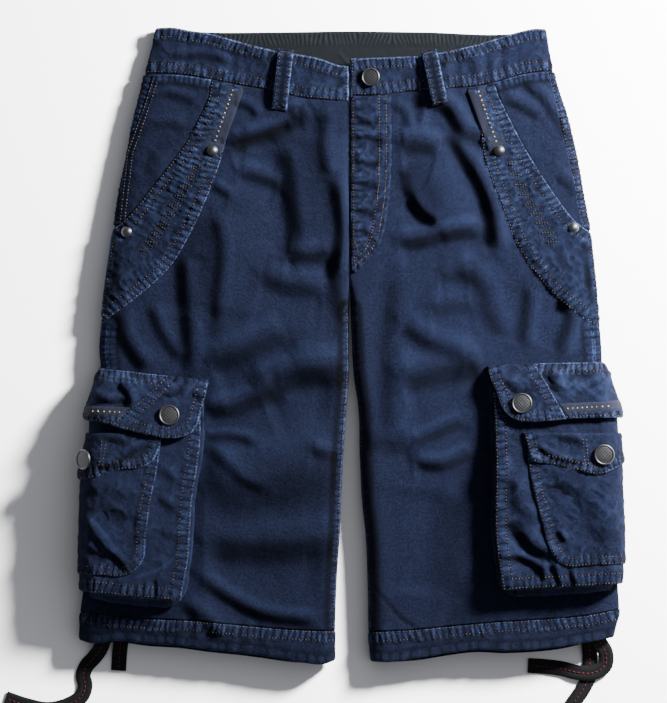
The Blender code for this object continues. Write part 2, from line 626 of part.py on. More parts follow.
def hem_sheet(side, proud):
    """The hem: a flattened tube round the leg's end, its seam side up and its edge down.

    Its columns stand in line with those of the front and the back panel above it.
    """
    columns = FRONT_COLUMNS + BACK_COLUMNS

    def shape(across, along):
        column_at = across * columns
        on_front = column_at <= FRONT_COLUMNS
        share = np.where(on_front, column_at / FRONT_COLUMNS,
                         1 - (column_at - FRONT_COLUMNS) / BACK_COLUMNS)
        drop = np.where(on_front, 0.0, back_hem_drop(share))
        front_x, front_down = spread_place(
            side, share, along, lambda at: hem_seam[side](at) + SEAM_GAP, hem_edge[side],
            outer_round_at, inner_round_at, OUTER_SHARE, INNER_SHARE)
        back_x, back_down = spread_place(
            side, share, along, lambda at: hem_seam[side](at) + drop + SEAM_GAP,
            lambda at: hem_edge[side](at) + drop, back_outer_round, back_inner_round,
            BACK_OUTER_SHARE, BACK_INNER_SHARE)
        x = np.where(on_front, front_x, back_x)
        down = np.where(on_front, front_down, back_down)
        front = front_height(side, x, down) + proud
        back = back_height(side, x, down)
        at_edge = (share < 1e-6) | (share > 1 - 1e-6)
        down = np.where(at_edge, (front_down + back_down) / 2, down)
        x = np.where(at_edge, (front_x + back_x) / 2, x)
        return x, down, np.where(at_edge, (front + back) / 2, np.where(on_front, front, back))
    mesh = mapped_grid("hem_" + SIDE_NAME[side], columns, 1, shape, (0, 0, 1))
    bm = bmesh.new()
    bm.from_mesh(mesh)
    bmesh.ops.remove_doubles(bm, verts=bm.verts, dist=0.00005)
    bmesh.ops.recalc_face_normals(bm, faces=bm.faces)
    top_face = max(bm.faces, key=lambda face: face.calc_center_median().z)
    if top_face.normal.z < 0:
        bmesh.ops.reverse_faces(bm, faces=bm.faces)
    bm.to_mesh(mesh)
    bm.free()
    return mesh


# ---------------------------------------------------------------- cargo pocket surfaces
BAG_COLUMNS = 16
TOP_END = 8 / BAG_COLUMNS          # shares of the face's columns at which its parts end
CORNER_END = 12 / BAG_COLUMNS
WALL_END = 13 / BAG_COLUMNS
FOOT_END = 15 / BAG_COLUMNS
FLAP_COLUMNS = 13
FLAP_ROWS = 8
RAMP_SHARE = 3 / FLAP_ROWS         # rows that climb from the leg to the pocket

flap_room = curve_through(column(FLAP_ROOM, "below_seam"), column(FLAP_ROOM, "room"))


def leg_top(side, x, down):
    """Height of a leg's front without its folds and rounded edges."""
    outer, inner = outer_at[side](down), inner_at[side](down)
    return crown_at(down) * (1 - LEG_DOME * (2 * (x - outer) / (inner - outer) - 1)**2)


def bag_top(side, x, down):
    """Height of a cargo pocket's face where it lies over the leg."""
    across = np.clip((x - bag_front[side](down)) / (bag_side[side](down) - bag_front[side](down)), 0, 1)
    pillow = np.sin(math.pi * np.clip(across * 0.9, 0, 1)) * BAG_PILLOW
    return leg_top(side, x, down) + bag_rise(down) + pillow


def bag_section(side, share, down, lift, overhang):
    """x and z along a section of the pocket's face: top, rounded side, side wall, foot, lip."""
    front = bag_front[side](down) - side * overhang
    outer = bag_side[side](down) + side * lift
    corner = BAG_CORNER + lift
    corner_x = outer - side * corner
    top_x = front + (corner_x - front) * np.clip(share / TOP_END, 0, 1)
    top_z = bag_top(side, top_x, down) + lift
    turn = np.clip((share - TOP_END) / (CORNER_END - TOP_END), 0, 1) * math.pi / 2
    wall = np.clip((share - CORNER_END) / (WALL_END - CORNER_END), 0, 1)
    foot = np.clip((share - WALL_END) / (FOOT_END - WALL_END), 0, 1) * math.pi / 2
    lip = np.clip((share - FOOT_END) / (1 - FOOT_END), 0, 1)
    wall_top = np.maximum(top_z - corner, BAG_FOOT_ROUND + 0.5)
    under = BAG_FOOT_ROUND * (1 - np.cos(foot)) + (BAG_LIP - BAG_FOOT_ROUND) * lip
    x = top_x + side * (corner * np.sin(turn) - under)
    z = np.where(share <= CORNER_END, wall_top + (top_z - wall_top) * np.cos(turn),
                 wall_top + (BAG_FOOT_ROUND - wall_top) * wall - BAG_FOOT_ROUND * np.sin(foot))
    return x, z


def leg_section(side, share, down, lift, overhang):
    """x and z along a section of the leg's front, spread like the pocket's section above it."""
    front = bag_front[side](down) - side * overhang
    corner_x = outer_at[side](down) - side * BAG_CORNER
    turn = np.clip((share - TOP_END) / (CORNER_END - TOP_END), 0, 1) * math.pi / 2
    wall = np.clip((share - CORNER_END) / (WALL_END - CORNER_END), 0, 1)
    x = front + (corner_x - front) * np.clip(share / TOP_END, 0, 1) + side * BAG_CORNER * np.sin(turn)
    z = front_height(side, x, down) + lift * np.cos(turn) - FLAP_HANG * wall
    return x + side * lift * np.sin(turn), z


def bag_sheet(side):
    def shape(across, along):
        x = bag_front[side](0 * along + CROTCH_END)
        for _ in range(6):
            mouth = flap_seam[side](x) + BAG_MOUTH
            down = mouth + (bag_bottom[side](x) - mouth) * along
            x, z = bag_section(side, across, down, 0.0, 0.0)
        return x, down, z
    return mapped_grid("cargo_face_" + SIDE_NAME[side], BAG_COLUMNS, 7, shape, (side, 0, 1))


def flap_sheet(side):
    """The flap: sewn to the leg along its top, it climbs onto the pocket and stands off its free edge."""
    deepest = max(point.down for point in FLAP[side]) + 6

    def shape(across, along):
        share = across * (WALL_END + 0.02)
        x = bag_front[side](0 * along + CROTCH_END)
        climb = np.clip(along / RAMP_SHARE, 0, 1)
        rest = np.clip((along - RAMP_SHARE) / (1 - RAMP_SHARE), 0, 1)
        for _ in range(6):
            depth = deepest - flap_seam[side](x)
            below = FLAP_RAMP * climb + (depth - FLAP_RAMP) * rest
            down = flap_seam[side](x) + below
            low_x, low_z = leg_section(side, share, down, flap_room(below), FLAP_OVERHANG)
            high_x, high_z = bag_section(side, share, down, flap_room(below), FLAP_OVERHANG)
            raised = smoothstep(climb)
            x = low_x + (high_x - low_x) * raised
            z = low_z + (high_z - low_z) * raised
        return x, down, z
    return mapped_grid("cargo_flap_" + SIDE_NAME[side], FLAP_COLUMNS, FLAP_ROWS, shape, (side, 0, 1))


def gusset_sheet(side):
    """The bellows wall: up from the leg to the edge of the pocket's face, with a pleat half way.

    It runs down the pocket's front edge, round its lower corner and along its bottom.
    """
    lowest = bag_bottom[side](np.array([bag_front[side](np.array([GUSSET_TURN_DOWN + 15]))[0]]))[0]

    def run_round(inset, reach_x, reach_down, down_front, turn):
        """x and down of a line that runs down the front edge and then turns outwards."""
        x = bag_front[side](down_front) + side * (inset + reach_x * (1 - np.cos(turn)))
        return x, down_front + reach_down * np.sin(turn)

    def shape(across, along):
        start = flap_seam[side](bag_front[side](0 * across + CROTCH_END)) + BAG_MOUTH + 2
        down_front = start + (GUSSET_TURN_DOWN - start) * np.clip(across / GUSSET_FRONT_SHARE, 0, 1)
        past_front = across - GUSSET_FRONT_SHARE
        turn = np.clip(past_front / GUSSET_TURN_SHARE, 0, 1) * math.pi / 2
        side_share = 1 - GUSSET_FRONT_SHARE - GUSSET_TURN_SHARE
        outwards = np.clip((past_front - GUSSET_TURN_SHARE) / side_share, 0, 1)

        foot_x, foot_down = run_round(-1.5, 22.0, lowest + GUSSET_SPREAD - 4 - GUSSET_TURN_DOWN,
                                      down_front, turn)
        foot_end = outer_at[side](foot_down) - side * 11.0
        foot_x = foot_x + (foot_end - foot_x) * outwards
        foot_down = foot_down + (bag_bottom[side](foot_x) + 6 - foot_down) * outwards
        foot_z = front_height(side, foot_x, foot_down) + 1.2 + 0.8 * outwards

        top_x, top_down = run_round(0.8, 16.0, lowest - 2 - GUSSET_TURN_DOWN, down_front, turn)
        top_end = bag_side[side](top_down) - side * 7.0
        top_x = top_x + (top_end - top_x) * outwards
        top_down = top_down + (bag_bottom[side](top_x) - 2.0 - top_down) * outwards
        past = np.clip(((top_x - bag_side[side](top_down)) * side + BAG_CORNER) / BAG_CORNER, 0, 1)
        sink = BAG_CORNER * (1 - np.sqrt(1 - past**2))
        top_z = bag_top(side, top_x, top_down) - sink - CLOTH - SEAM_GAP - GUSSET_SEAT

        pleat = np.sin(along * math.pi * 2) * GUSSET_PLEAT
        x = foot_x + (top_x - foot_x) * along - side * pleat * np.cos(turn)
        down = foot_down + (top_down - foot_down) * along + pleat * np.sin(turn)
        return x, down, foot_z + (top_z - foot_z) * along
    return mapped_grid("cargo_gusset_" + SIDE_NAME[side], 15, 4, shape, (-side, -1, 0))


# ---------------------------------------------------------------- pieces
def build_panels(groups):
    parts, _, root = groups
    sheets = {}
    for side in (LEFT, RIGHT):
        name = SIDE_NAME[side]
        sheets[side] = front_sheet(side)
        front = add_object("front_" + name, sheets[side].copy(), "navy_twill", parts, root)
        thicken(front, CLOTH)
        seam, split = level_line(BACK_SEAM_DOWN), level_line(BACK_SPLIT_DOWN)
        for label, rows, top_line, bottom_line, drop in (
                ("back_upper_", UPPER_BACK_ROWS, seam, split, 0),
                ("back_", LOWER_BACK_ROWS, split, hem_seam[side], 1)):
            back = add_object(label + name, back_sheet(side, label, rows, top_line, bottom_line, drop),
                              "navy_twill", parts, root)
            thicken(back, CLOTH)
        hem = add_object("hem_" + name, hem_sheet(side, 0.4), "navy_twill_worn", parts, root)
        thicken(hem, HEM_WALL)
    return sheets


def build_waist(groups):
    parts, _, root = groups
    sheets = {}
    for side in (LEFT, RIGHT):
        sheets[side] = waistband_front_sheet(side, BAND_PROUD)
        band = add_object("waistband_front_" + SIDE_NAME[side], sheets[side].copy(), "navy_twill_worn",
                          parts, root)
        thicken(band, BAND_WALL)
    back = add_object("waistband_back", waistband_back_sheet(), "navy_twill_worn", parts, root)
    thicken(back, BAND_WALL)
    facing = add_object("waistband_facing", waistband_facing_sheet(BAND_WALL + SEAM_GAP), "dark_facing",
                        parts, root)
    thicken(facing, LINING_WALL, inwards=False)
    return sheets


def below_band(side, line):
    """The start of a line, moved to just below the waistband's seam."""
    x = line[0][0]
    return x, float(waist_seam[side](np.array([x]))[0]) + SEAM_GAP


def build_hip_pocket(side, sheet, groups):
    name = SIDE_NAME[side]
    opening = smooth_path(OPENING[side], 12)
    band_seam = smooth_path(BAND_SEAM[side], 14)
    strip = smooth_path(SIDE_STRIP[side], 9)
    beyond = side * 300.0
    for line in (opening, band_seam, strip):
        line[0] = below_band(side, line)
    band_outline = [(x - side * SEAM_GAP, down) for x, down in opening]
    band_outline += [(beyond, opening[-1][1] + 2), (beyond, band_seam[-1][1])]
    band_outline += [tuple(point) for point in band_seam[::-1]]
    laid_piece("pocket_band_" + name, sheet, band_outline, LAY_GAP, POCKET_BAND_WALL, "navy_twill_worn",
               groups)
    facing_outline = [tuple(point) for point in opening[:-1]]
    facing_outline += [(x - side * SEAM_GAP, down) for x, down in strip[:-1][::-1]]
    laid_piece("hip_facing_" + name, sheet, facing_outline, LAY_GAP, LINING_WALL, "navy_twill", groups)
    strip_line = [tuple(point) for point in strip[:-1]]
    side_outline = strip_line + [(beyond, strip_line[-1][1]), (beyond, strip_line[0][1])]
    laid_piece("side_strip_" + name, sheet, side_outline, LAY_GAP, STRIP_WALL, "navy_twill_worn", groups)
    start, end = HIP_TAPE[side]
    laid_piece("hip_tape_" + name, sheet, strip_outline(start, end, HIP_TAPE_WIDTH), HIP_TAPE_LIFT,
               LINING_WALL, "herringbone_tape", groups)


RIVET_PROFILE = [(0, 3.2), (2.4, 2.9), (4.4, 1.8), (RIVET_RADIUS, 0.5), (RIVET_RADIUS, 0.0), (0, 0.0)]


def build_rivets(groups):
    for side in (LEFT, RIGHT):
        for label, places, lift in (("tape_rivet_", TAPE_RIVET, TAPE_RIVET_LIFT),
                                    ("pocket_rivet_", POCKET_RIVET, POCKET_RIVET_LIFT)):
            rivet = turned_piece(label + SIDE_NAME[side], RIVET_PROFILE, 14, "antique_pewter", groups)
            seat(rivet, partial(front_height, side), places[side].x, places[side].down, lift)


def button_profile(radius):
    """Flat domed cap with a raised rim over a short base."""
    return [(0, 3.3), (radius * 0.78, 3.0), (radius * 0.88, 3.5), (radius, 2.6), (radius, 1.2),
            (radius * 0.7, 0.0), (0, 0.0)]


def build_fly(sheet, groups):
    """The fly's front: from its free edge to beyond the curved stitching."""
    edge = [(max(x, -0.6), down) for x, down in smooth_path(FLY_EDGE, 7)]
    edge[0] = below_band(RIGHT, edge)
    stitch_line = [(x + 5.0, down) for x, down in smooth_path(FLY_STITCH, 10)]
    stitch_line[0] = below_band(RIGHT, stitch_line)
    laid_piece("fly_front", sheet, edge + stitch_line[::-1], LAY_GAP, FLY_WALL, "navy_twill", groups)


def build_belt_loop(side, groups):
    """A strap sewn down at both ends, bowed off the waistband between them."""
    parts, _, root = groups
    start, end = LOOP_LINE[side]
    run = Vector((end.x - start.x, end.down - start.down)).normalized()

    def shape(across, along):
        reach = (across - 0.5) * LOOP_WIDTH
        mid_x = start.x + (end.x - start.x) * along
        mid_down = start.down + (end.down - start.down) * along
        x = mid_x + reach * run.y
        down = mid_down - reach * run.x
        base = front_height(side, mid_x, mid_down)
        bow = LOOP_CLEARANCE * np.sin(math.pi * np.clip(along * 1.16 - 0.08, 0, 1))**0.35
        step_down = BAND_PROUD * smoothstep((along - 0.85) / 0.15)
        return x, down, base + BAND_PROUD + LOOP_SEAT - step_down + bow
    strap = add_object("belt_loop_" + SIDE_NAME[side],
                       mapped_grid("belt_loop_" + SIDE_NAME[side], 2, 12, shape, (0, 0, 1)),
                       "navy_twill_worn", parts, root)
    thicken(strap, LOOP_WALL, inwards=False)


def build_cargo_pocket(side, groups):
    """The pocket's face and bellows wall, and the small flapped pocket sewn on it."""
    parts, _, root = groups
    name = SIDE_NAME[side]
    face_sheet = bag_sheet(side)
    face = add_object("cargo_face_" + name, face_sheet.copy(), "navy_twill", parts, root)
    thicken(face, CLOTH)
    gusset = add_object("cargo_gusset_" + name, gusset_sheet(side), "navy_twill", parts, root)
    thicken(gusset, GUSSET_WALL)
    beyond = side * 300.0
    patch_line = [tuple(point) for point in PATCH[side]]
    patch_outline = patch_line[:-1] + [(beyond, patch_line[-1][1]), (beyond, patch_line[0][1])]
    laid_piece("patch_pocket_" + name, face_sheet, patch_outline, LAY_GAP, PATCH_WALL, "navy_twill", groups,
               low=5.5)
    inner_line = [tuple(point) for point in PATCH_FLAP[side]]
    inner_outline = inner_line[:-1] + [(beyond, inner_line[-1][1]), (beyond, inner_line[0][1])]
    laid_piece("patch_flap_" + name, face_sheet, inner_outline, 2 * LAY_GAP + PATCH_WALL, PATCH_WALL,
               "navy_twill_worn", groups, low=9.0)


def build_cargo_flap(side, groups):
    """The pocket's flap, with its sewn-on corner and woven tape."""
    name = SIDE_NAME[side]
    beyond = side * 300.0
    base = flap_sheet(side)
    free_edge = [tuple(point) for point in FLAP[side]]
    seam = [tuple(point) for point in FLAP_TOP[side] if abs(point.x) < 260]
    seam.sort(key=lambda point: abs(point[0]), reverse=True)
    flap_outline = free_edge[:-1] + [(beyond, free_edge[-1][1]), (beyond, seam[0][1])] + seam[:-1]
    laid_piece("cargo_flap_" + name, base, flap_outline, 0.0, CLOTH, "navy_twill_worn", groups, low=10.0)

    seam_top, seam_foot = FLAP_DIAGONAL[side]
    corner_edge = [point for point in free_edge if abs(point[0]) < abs(seam_foot.x) - 8]
    corner_outline = ([(seam_top.x, seam_top.down + 1)] + [seam[-1]] + corner_edge[1:]
                      + [(seam_foot.x, seam_foot.down)])
    laid_piece("flap_corner_" + name, base, corner_outline, CLOTH + SEAM_GAP, LINING_WALL, "navy_twill",
               groups, low=20.0)

    start, end = FLAP_TAPE[side]
    above, below = FLAP_TAPE_WIDTH / 2, FLAP_TAPE_WIDTH / 4
    lean = (seam_foot.x - seam_top.x) / (seam_foot.down - seam_top.down)

    def beside_diagonal(down):
        return seam_top.x + lean * (down - seam_top.down) + side * 1.0, down

    tape_outline = [beside_diagonal(start.down - above), (end.x, end.down - above),
                    (end.x, end.down + below), beside_diagonal(start.down + below)]
    laid_piece("flap_tape_" + name, base, tape_outline, CLOTH + SEAM_GAP, LINING_WALL, "herringbone_tape",
               groups, low=14.0)


def flap_height(side, x, down):
    """Height of a flap's outer surface, for what is seated on it."""
    return bag_top(side, x, down) + flap_room(down - flap_seam[side](x)) + CLOTH + SEAM_GAP + 1.0


def build_buttons(groups):
    waist = turned_piece("waist_button", button_profile(WAIST_BUTTON_RADIUS), 16, "antique_pewter", groups)
    seat(waist, partial(front_height, RIGHT), WAIST_BUTTON.x, WAIST_BUTTON.down, WAIST_BUTTON_LIFT)
    for side in (LEFT, RIGHT):
        cap = turned_piece("flap_button_" + SIDE_NAME[side], button_profile(BUTTON_RADIUS), 16,
                           "antique_pewter", groups)
        seat(cap, partial(flap_height, side), FLAP_BUTTON[side].x, FLAP_BUTTON[side].down,
             FLAP_BUTTON_LIFT)


def build_patch_button(side, groups):
    """The patch pocket's snap cap, on the rounded side of the pocket."""
    cap = turned_piece("patch_button_" + SIDE_NAME[side], button_profile(BUTTON_RADIUS), 16,
                       "antique_pewter", groups)
    place = PATCH_BUTTON[side]
    down = np.array([place.down])
    lift = 2 * SEAM_GAP + 2.8
    outer = float(bag_side[side](down)[0])
    corner_x = outer - side * BAG_CORNER
    top = float(bag_top(side, np.array([corner_x]), down)[0])
    angle = math.asin(min(1.0, max(0.0, (place.x - corner_x) * side / (BAG_CORNER + lift))))
    normal = Vector((side * math.sin(angle), 0, math.cos(angle)))
    radius = BAG_CORNER + lift + 1.3
    centre = Vector(to_frame(corner_x, place.down, top - BAG_CORNER)) + normal * radius * MM
    cap.matrix_world = Matrix.Translation(centre) @ normal.to_track_quat("Z", "Y").to_matrix().to_4x4()


def tape_sheet(name, route):
    """A flat ribbon along a smooth route, level across its width."""
    count = 2 * len(route)
    path = smooth_path(route, count + 1)
    runs = np.gradient(path[:, :2], axis=0)
    runs /= np.linalg.norm(runs, axis=1)[:, None]
    sideways = np.column_stack([-runs[:, 1], runs[:, 0]])

    def shape(across, along):
        index = np.rint(along * count).astype(int)
        reach = (across - 0.5) * TAPE_WIDTH
        x = path[index, 0] + sideways[index, 0] * reach
        down = path[index, 1] + sideways[index, 1] * reach
        return x, down, path[index, 2] - TAPE_WALL / 2
    return mapped_grid(name, 1, count, shape, (0, 0, 1))


def build_drawtapes(groups):
    """Flat tapes that come out of the hems and lie on the ground."""
    parts, _, root = groups
    for name, route in TAPE_ROUTES.items():
        ribbon = add_object(name, tape_sheet(name, route), "herringbone_tape", parts, root)
        thicken(ribbon, TAPE_WALL, inwards=False)


def main():
    for existing in list(bpy.data.objects):
        bpy.data.objects.remove(existing, do_unlink=True)
    parts = bpy.data.collections.new("cargo_shorts")
    cutters = bpy.data.collections.new("cutters")
    bpy.context.scene.collection.children.link(parts)
    bpy.context.scene.collection.children.link(cutters)
    root = bpy.data.objects.new("cargo_shorts_root", None)
    parts.objects.link(root)
    groups = (parts, cutters, root)
    front_sheets = build_panels(groups)
    build_waist(groups)
    build_fly(front_sheets[RIGHT], groups)
    for side in (LEFT, RIGHT):
        build_hip_pocket(side, front_sheets[side], groups)
        build_belt_loop(side, groups)
        build_cargo_pocket(side, groups)
        build_cargo_flap(side, groups)
        build_patch_button(side, groups)
    build_rivets(groups)
    build_buttons(groups)
    build_drawtapes(groups)


main()
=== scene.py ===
"""Looks of a pair of knee-length cargo shorts, laid flat with the front up.

Frame: metres, +X to the right as the front is seen, +Y towards the waist, +Z up, and the
back lies on z = 0. Inside this script a place on the garment is given in millimetres by x,
from the centre line, and by down, from the top of the waistband. Left and right are as
seen from the front.
"""
import logging
import math
from dataclasses import dataclass, field
from enum import Enum
from typing import Callable, Sequence

import bpy
import numpy as np
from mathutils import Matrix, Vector


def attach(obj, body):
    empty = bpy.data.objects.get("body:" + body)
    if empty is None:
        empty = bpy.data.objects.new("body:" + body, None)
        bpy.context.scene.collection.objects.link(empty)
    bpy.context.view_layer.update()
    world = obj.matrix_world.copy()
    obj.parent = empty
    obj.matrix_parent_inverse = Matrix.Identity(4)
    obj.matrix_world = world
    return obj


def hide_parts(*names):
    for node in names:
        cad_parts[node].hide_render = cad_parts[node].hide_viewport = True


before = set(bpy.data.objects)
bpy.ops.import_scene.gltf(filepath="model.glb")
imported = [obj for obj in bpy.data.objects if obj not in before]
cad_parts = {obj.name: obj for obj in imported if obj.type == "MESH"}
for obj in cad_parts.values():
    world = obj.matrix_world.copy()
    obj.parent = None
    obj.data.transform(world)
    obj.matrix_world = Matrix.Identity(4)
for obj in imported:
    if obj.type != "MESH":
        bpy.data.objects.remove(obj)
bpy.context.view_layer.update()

LOG = logging.getLogger("shorts")
Array = np.ndarray
Points = Sequence[tuple[float, float]]

# ------------------------------------------------------------------ driving sizes, in millimetres
MM = 0.001
CENTRE_DOWN = 320.3        # down of the frame's origin
CENTRE_X = -0.1            # x of the frame's origin
CLOTH = 1.4                # wall of the panels
LAY = 0.45                 # under a piece that lies on a panel
SEAM_GROOVE = 0.75         # half the groove along a side seam
BAND_WALL = 2.4            # doubled cloth of the waistband
BAND_PROUD = 0.5           # how far it stands above the panels
HEM_WALL = 2.0
CROTCH_DOWN = 241.0        # the front seam starts to dip here
CROTCH_END = 290.0         # and has met the back here
CROTCH_EASE = 18.0         # above and below the first, the folds at the inner edge calm down
INSEAM_HEIGHT = 9.0
LEG_DOME = 0.10            # share of its height that a front falls from mid leg to its edges
BACK_ROUND = 2.6           # width of the back's rounded edge, in seam heights
BACK_SEAM_DOWN = 47.0
BACK_HEM_DROP = 3.5
TAPE_WIDTH = 15.0
TAPE_WALL = 1.3
TAPE_LEVEL = 0.9           # height of a drawtape's middle where it lies on the floor
BUTTON_RADIUS = 10.3
WAIST_BUTTON_RADIUS = 9.2
RIVET_RADIUS = 5.3
RIM_SHARE = 0.80           # where a cap's rim starts, as a share of its radius
HATCH_TURNS = 1.9          # radians a millimetre of the cross-hatch
LOOP_CLEARANCE = 4.8
LOOP_WIDTH = 16.0
HIP_TAPE_WIDTH = 20.0
FACING_REACH = 172.0       # half the width of the back waistband's facing
PLEAT_PITCH = 4.3          # of the small pleats along its top
PLEAT_LENGTH = 9.5
BAG_CORNER = 20.0          # rounding where a side pocket turns down the side
BAG_FOOT = 5.0             # and where it turns under the leg
BAG_LIP = 13.0             # what lies under the leg
BAG_PILLOW = 2.2
BAG_MOUTH = 15.5           # the pocket's mouth lies this far below the flap's seam
FLAP_RAMP = 14.0
FLAP_HANG = 4.0
GUSSET_SPREAD = 11.0
GUSSET_TURN_DOWN = 545.0
GUSSET_TURN = (0.5, 0.7)   # shares of its length at which it starts and ends its turn
GUSSET_LENGTH = 330.0
GUSSET_DEPTH = 18.0
GUSSET_PLEAT = 2.2
STITCH_PITCH = 3.3
STITCH_LENGTH = 1.7
STITCH_RADIUS = 0.5
DASH = (2.6, 2.2, 0.75)    # pitch, length and radius of the embroidery's dashes
DOT = (4.8, 1.5, 0.75)     # of the dots on the tapes
TACK = (1.2, 1.0, 0.5)     # and of the short close stitches at the fly's foot
BAR_TACK = (1.3, 1.0, 0.5)     # and at the belt loops' ends
ZIGZAG_STEP = 11.0
FAR = 99.0                 # what stands for no edge near
NO_ROW = -9.0              # and for no row of stitches
SETTLE = 7                 # rounds in which a grid between curved edges settles

# ------------------------------------------------------------------ light, in metres
KEY_DIRECTION = (1.7, 1.15, 1.0)
KEY_DISTANCE = 1.6
KEY_RADIUS = 0.16
KEY_IRRADIANCE = 32.0      # at the middle of the shorts
SKY = 0.54
FLOOR_FACING = (0.6, 0.4, 0.7)     # the white floor answers the low lamp as a board tilted to it
FLOOR_REACH = 4.0
FLOOR_DROP = 0.0002        # the floor lies this far under the cloth
CAMERA_PLACE = (-0.0174, -0.0042, 4.0)
CAMERA_SENSOR = 36.0       # millimetres
FRONT_LEVEL = 0.02         # where the scale holds
VIEW_TALL = 0.703          # what the picture's height shows there


class Side(Enum):
    """The two halves of the shorts, with the sign of x on each."""

    LEFT = -1
    RIGHT = 1

    @property
    def label(self) -> str:
        """The side's name as it ends the names of nodes."""
        return self.name.lower()


LEFT, RIGHT = Side.LEFT, Side.RIGHT

# columns: down, left x, right x
OUTER_EDGE = np.array([
    (0, -195, 195), (28, -201.5, 199.5), (53, -207.5, 204.5), (93, -217, 217), (133, -225.5, 226),
    (173, -232.5, 233), (213, -239, 240.5), (253, -245.5, 245), (293, -249.5, 248.5),
    (323, -252, 251), (340, -250.5, 251.5), (353, -249.5, 252.5), (373, -254, 256),
    (413, -257.5, 261), (453, -263, 264), (493, -265, 265.5), (533, -265.5, 266),
    (563, -268, 267.5), (585, -271, 268.5), (613, -272, 262.5), (640, -272, 262)], float)
INNER_EDGE = np.array([
    (0, -2.1, -0.9), (100, -2.1, -0.9), (200, -2.1, -0.9), (240, -2.1, -0.8), (275, -2.1, -0.4),
    (310, -2.2, 0.7), (358, -2.8, 4), (373, -4, 6.5), (433, -8, 9), (473, -10, 11),
    (513, -11.5, 15), (533, -13, 16), (573, -15, 17), (613, -16, 18), (640, -16, 20.5)], float)
# columns: down, crown of a leg, side seam, reach of the outer and of the inner rounding
HEIGHTS = np.array([
    (0, 13.0, 7.0, 16, 4), (50, 14.5, 7.5, 17, 4), (120, 18.5, 9.0, 22, 4), (200, 21.5, 10.0, 26, 5),
    (300, 23.5, 11.0, 30, 13), (360, 25.0, 12.0, 28, 18), (450, 26.0, 13.0, 26, 20),
    (560, 26.0, 13.0, 26, 20), (613, 24.0, 12.0, 24, 18), (640, 23.0, 11.5, 22, 16)], float)
# columns: down, the pocket's outer line left and right, its front edge left and right, its rise
BAG = np.array([
    (340, -254, 256, -149, 141, 5.0), (358, -256, 260, -150, 141, 8.2),
    (378, -260.5, 264.5, -150, 142, 10.5), (413, -262.5, 267.5, -150, 143, 15.0),
    (433, -267, 269, -152, 143.5, 17.0), (473, -270, 270.5, -158, 143, 18.5),
    (503, -270.5, 271.5, -160, 143, 18.5), (533, -271, 272, -162, 146, 18.0),
    (563, -271, 271, -168, 151, 17.0), (580, -270.5, 269, -170, 153, 16.0)], float)
# columns: distance below the flap's seam, room between the pocket's face and the flap
FLAP_ROOM = np.array([(0, 0.4), (12, 0.9), (22, 1.4), (34, 2.5), (48, 4.2), (60, 5.3), (76, 5.7)], float)

# lines across the garment, as (x, down)
WAIST_TOP = {
    LEFT: [(-196, 0), (-176, 0), (-161, 3), (-141, 6), (-126, 10), (-101, 17), (-76, 23), (-51, 27),
           (-31, 31), (-14, 37), (0, 39)],
    RIGHT: [(-1, 31), (24, 30), (49, 29), (69, 28), (89, 25), (109, 21), (129, 16), (149, 10),
            (169, 4), (184, 1), (196, 1)]}
WAIST_SEAM = {
    LEFT: [(-206, 46), (-171, 47), (-141, 52), (-116, 57), (-81, 63), (-51, 70), (-21, 73), (0, 74)],
    RIGHT: [(-1, 68), (24, 68), (49, 65), (74, 63), (99, 61), (129, 58), (149, 53), (169, 47),
            (189, 44), (204, 43)]}
BACK_TOP = [(-196, 1), (-141, 4), (-81, 4), (-6, 3), (79, 4), (154, 6), (196, 2)]
HEM_SEAM = {
    LEFT: [(-269, 585), (-211, 591), (-151, 594), (-91, 600), (-51, 603), (-16, 604)],
    RIGHT: [(19, 605), (69, 602), (99, 599), (129, 596), (189, 592), (229, 589), (269, 582)]}
HEM_EDGE = {
    LEFT: [(-273, 613), (-261, 616), (-233, 614), (-201, 617), (-171, 619), (-141, 623), (-111, 626),
           (-81, 630), (-51, 635), (-26, 637), (-16, 634)],
    RIGHT: [(21, 635), (39, 635), (69, 631), (99, 626), (124, 623), (154, 624), (179, 623),
            (209, 620), (239, 615), (261, 611)]}
BAG_BOTTOM = {
    LEFT: [(-272, 563), (-251, 565), (-221, 568), (-186, 571), (-169, 573)],
    RIGHT: [(151, 562), (189, 560), (229, 558), (271, 556)]}
BAG_FOOT_LINE = {
    LEFT: BAG_BOTTOM[LEFT][::-1],
    RIGHT: [*BAG_BOTTOM[RIGHT][:-1], (250, 557), BAG_BOTTOM[RIGHT][-1]]}
FLAP_TOP = {
    LEFT: [(-262, 340), (-226, 344), (-171, 350), (-142, 353)],
    RIGHT: [(136, 339), (199, 336), (271, 335)]}


# ------------------------------------------------------------------ curves, lines and noise
class Curve:
    """A smooth value along stations: cubic pieces whose slopes come from the neighbours."""

    def __init__(self, stations: Sequence[float], values: Sequence[float]) -> None:
        """Keeps the stations, the values there and the slopes."""
        self.stations = np.asarray(stations, float)
        self.values = np.asarray(values, float)
        self.slopes = np.gradient(self.values, self.stations)

    def __call__(self, position: Array) -> Array:
        """The value at each position, which is kept within the stations.

        Args:
            position: where along the stations.

        Returns:
            The values, from a cubic between each two stations.
        """
        place = np.clip(position, self.stations[0], self.stations[-1])
        index = np.clip(np.searchsorted(self.stations, place) - 1, 0, len(self.stations) - 2)
        span = self.stations[index + 1] - self.stations[index]
        t = (place - self.stations[index]) / span
        start, end = self.values[index], self.values[index + 1]
        return (start * (2 * t**3 - 3 * t**2 + 1) + end * (3 * t**2 - 2 * t**3)
                + span * self.slopes[index] * (t**3 - 2 * t**2 + t)
                + span * self.slopes[index + 1] * (t**3 - t**2))


def by_x(points: Points) -> Curve:
    """The down of a line that runs across the garment, as a curve over x."""
    ordered = sorted(points)
    return Curve([p[0] for p in ordered], [p[1] for p in ordered])


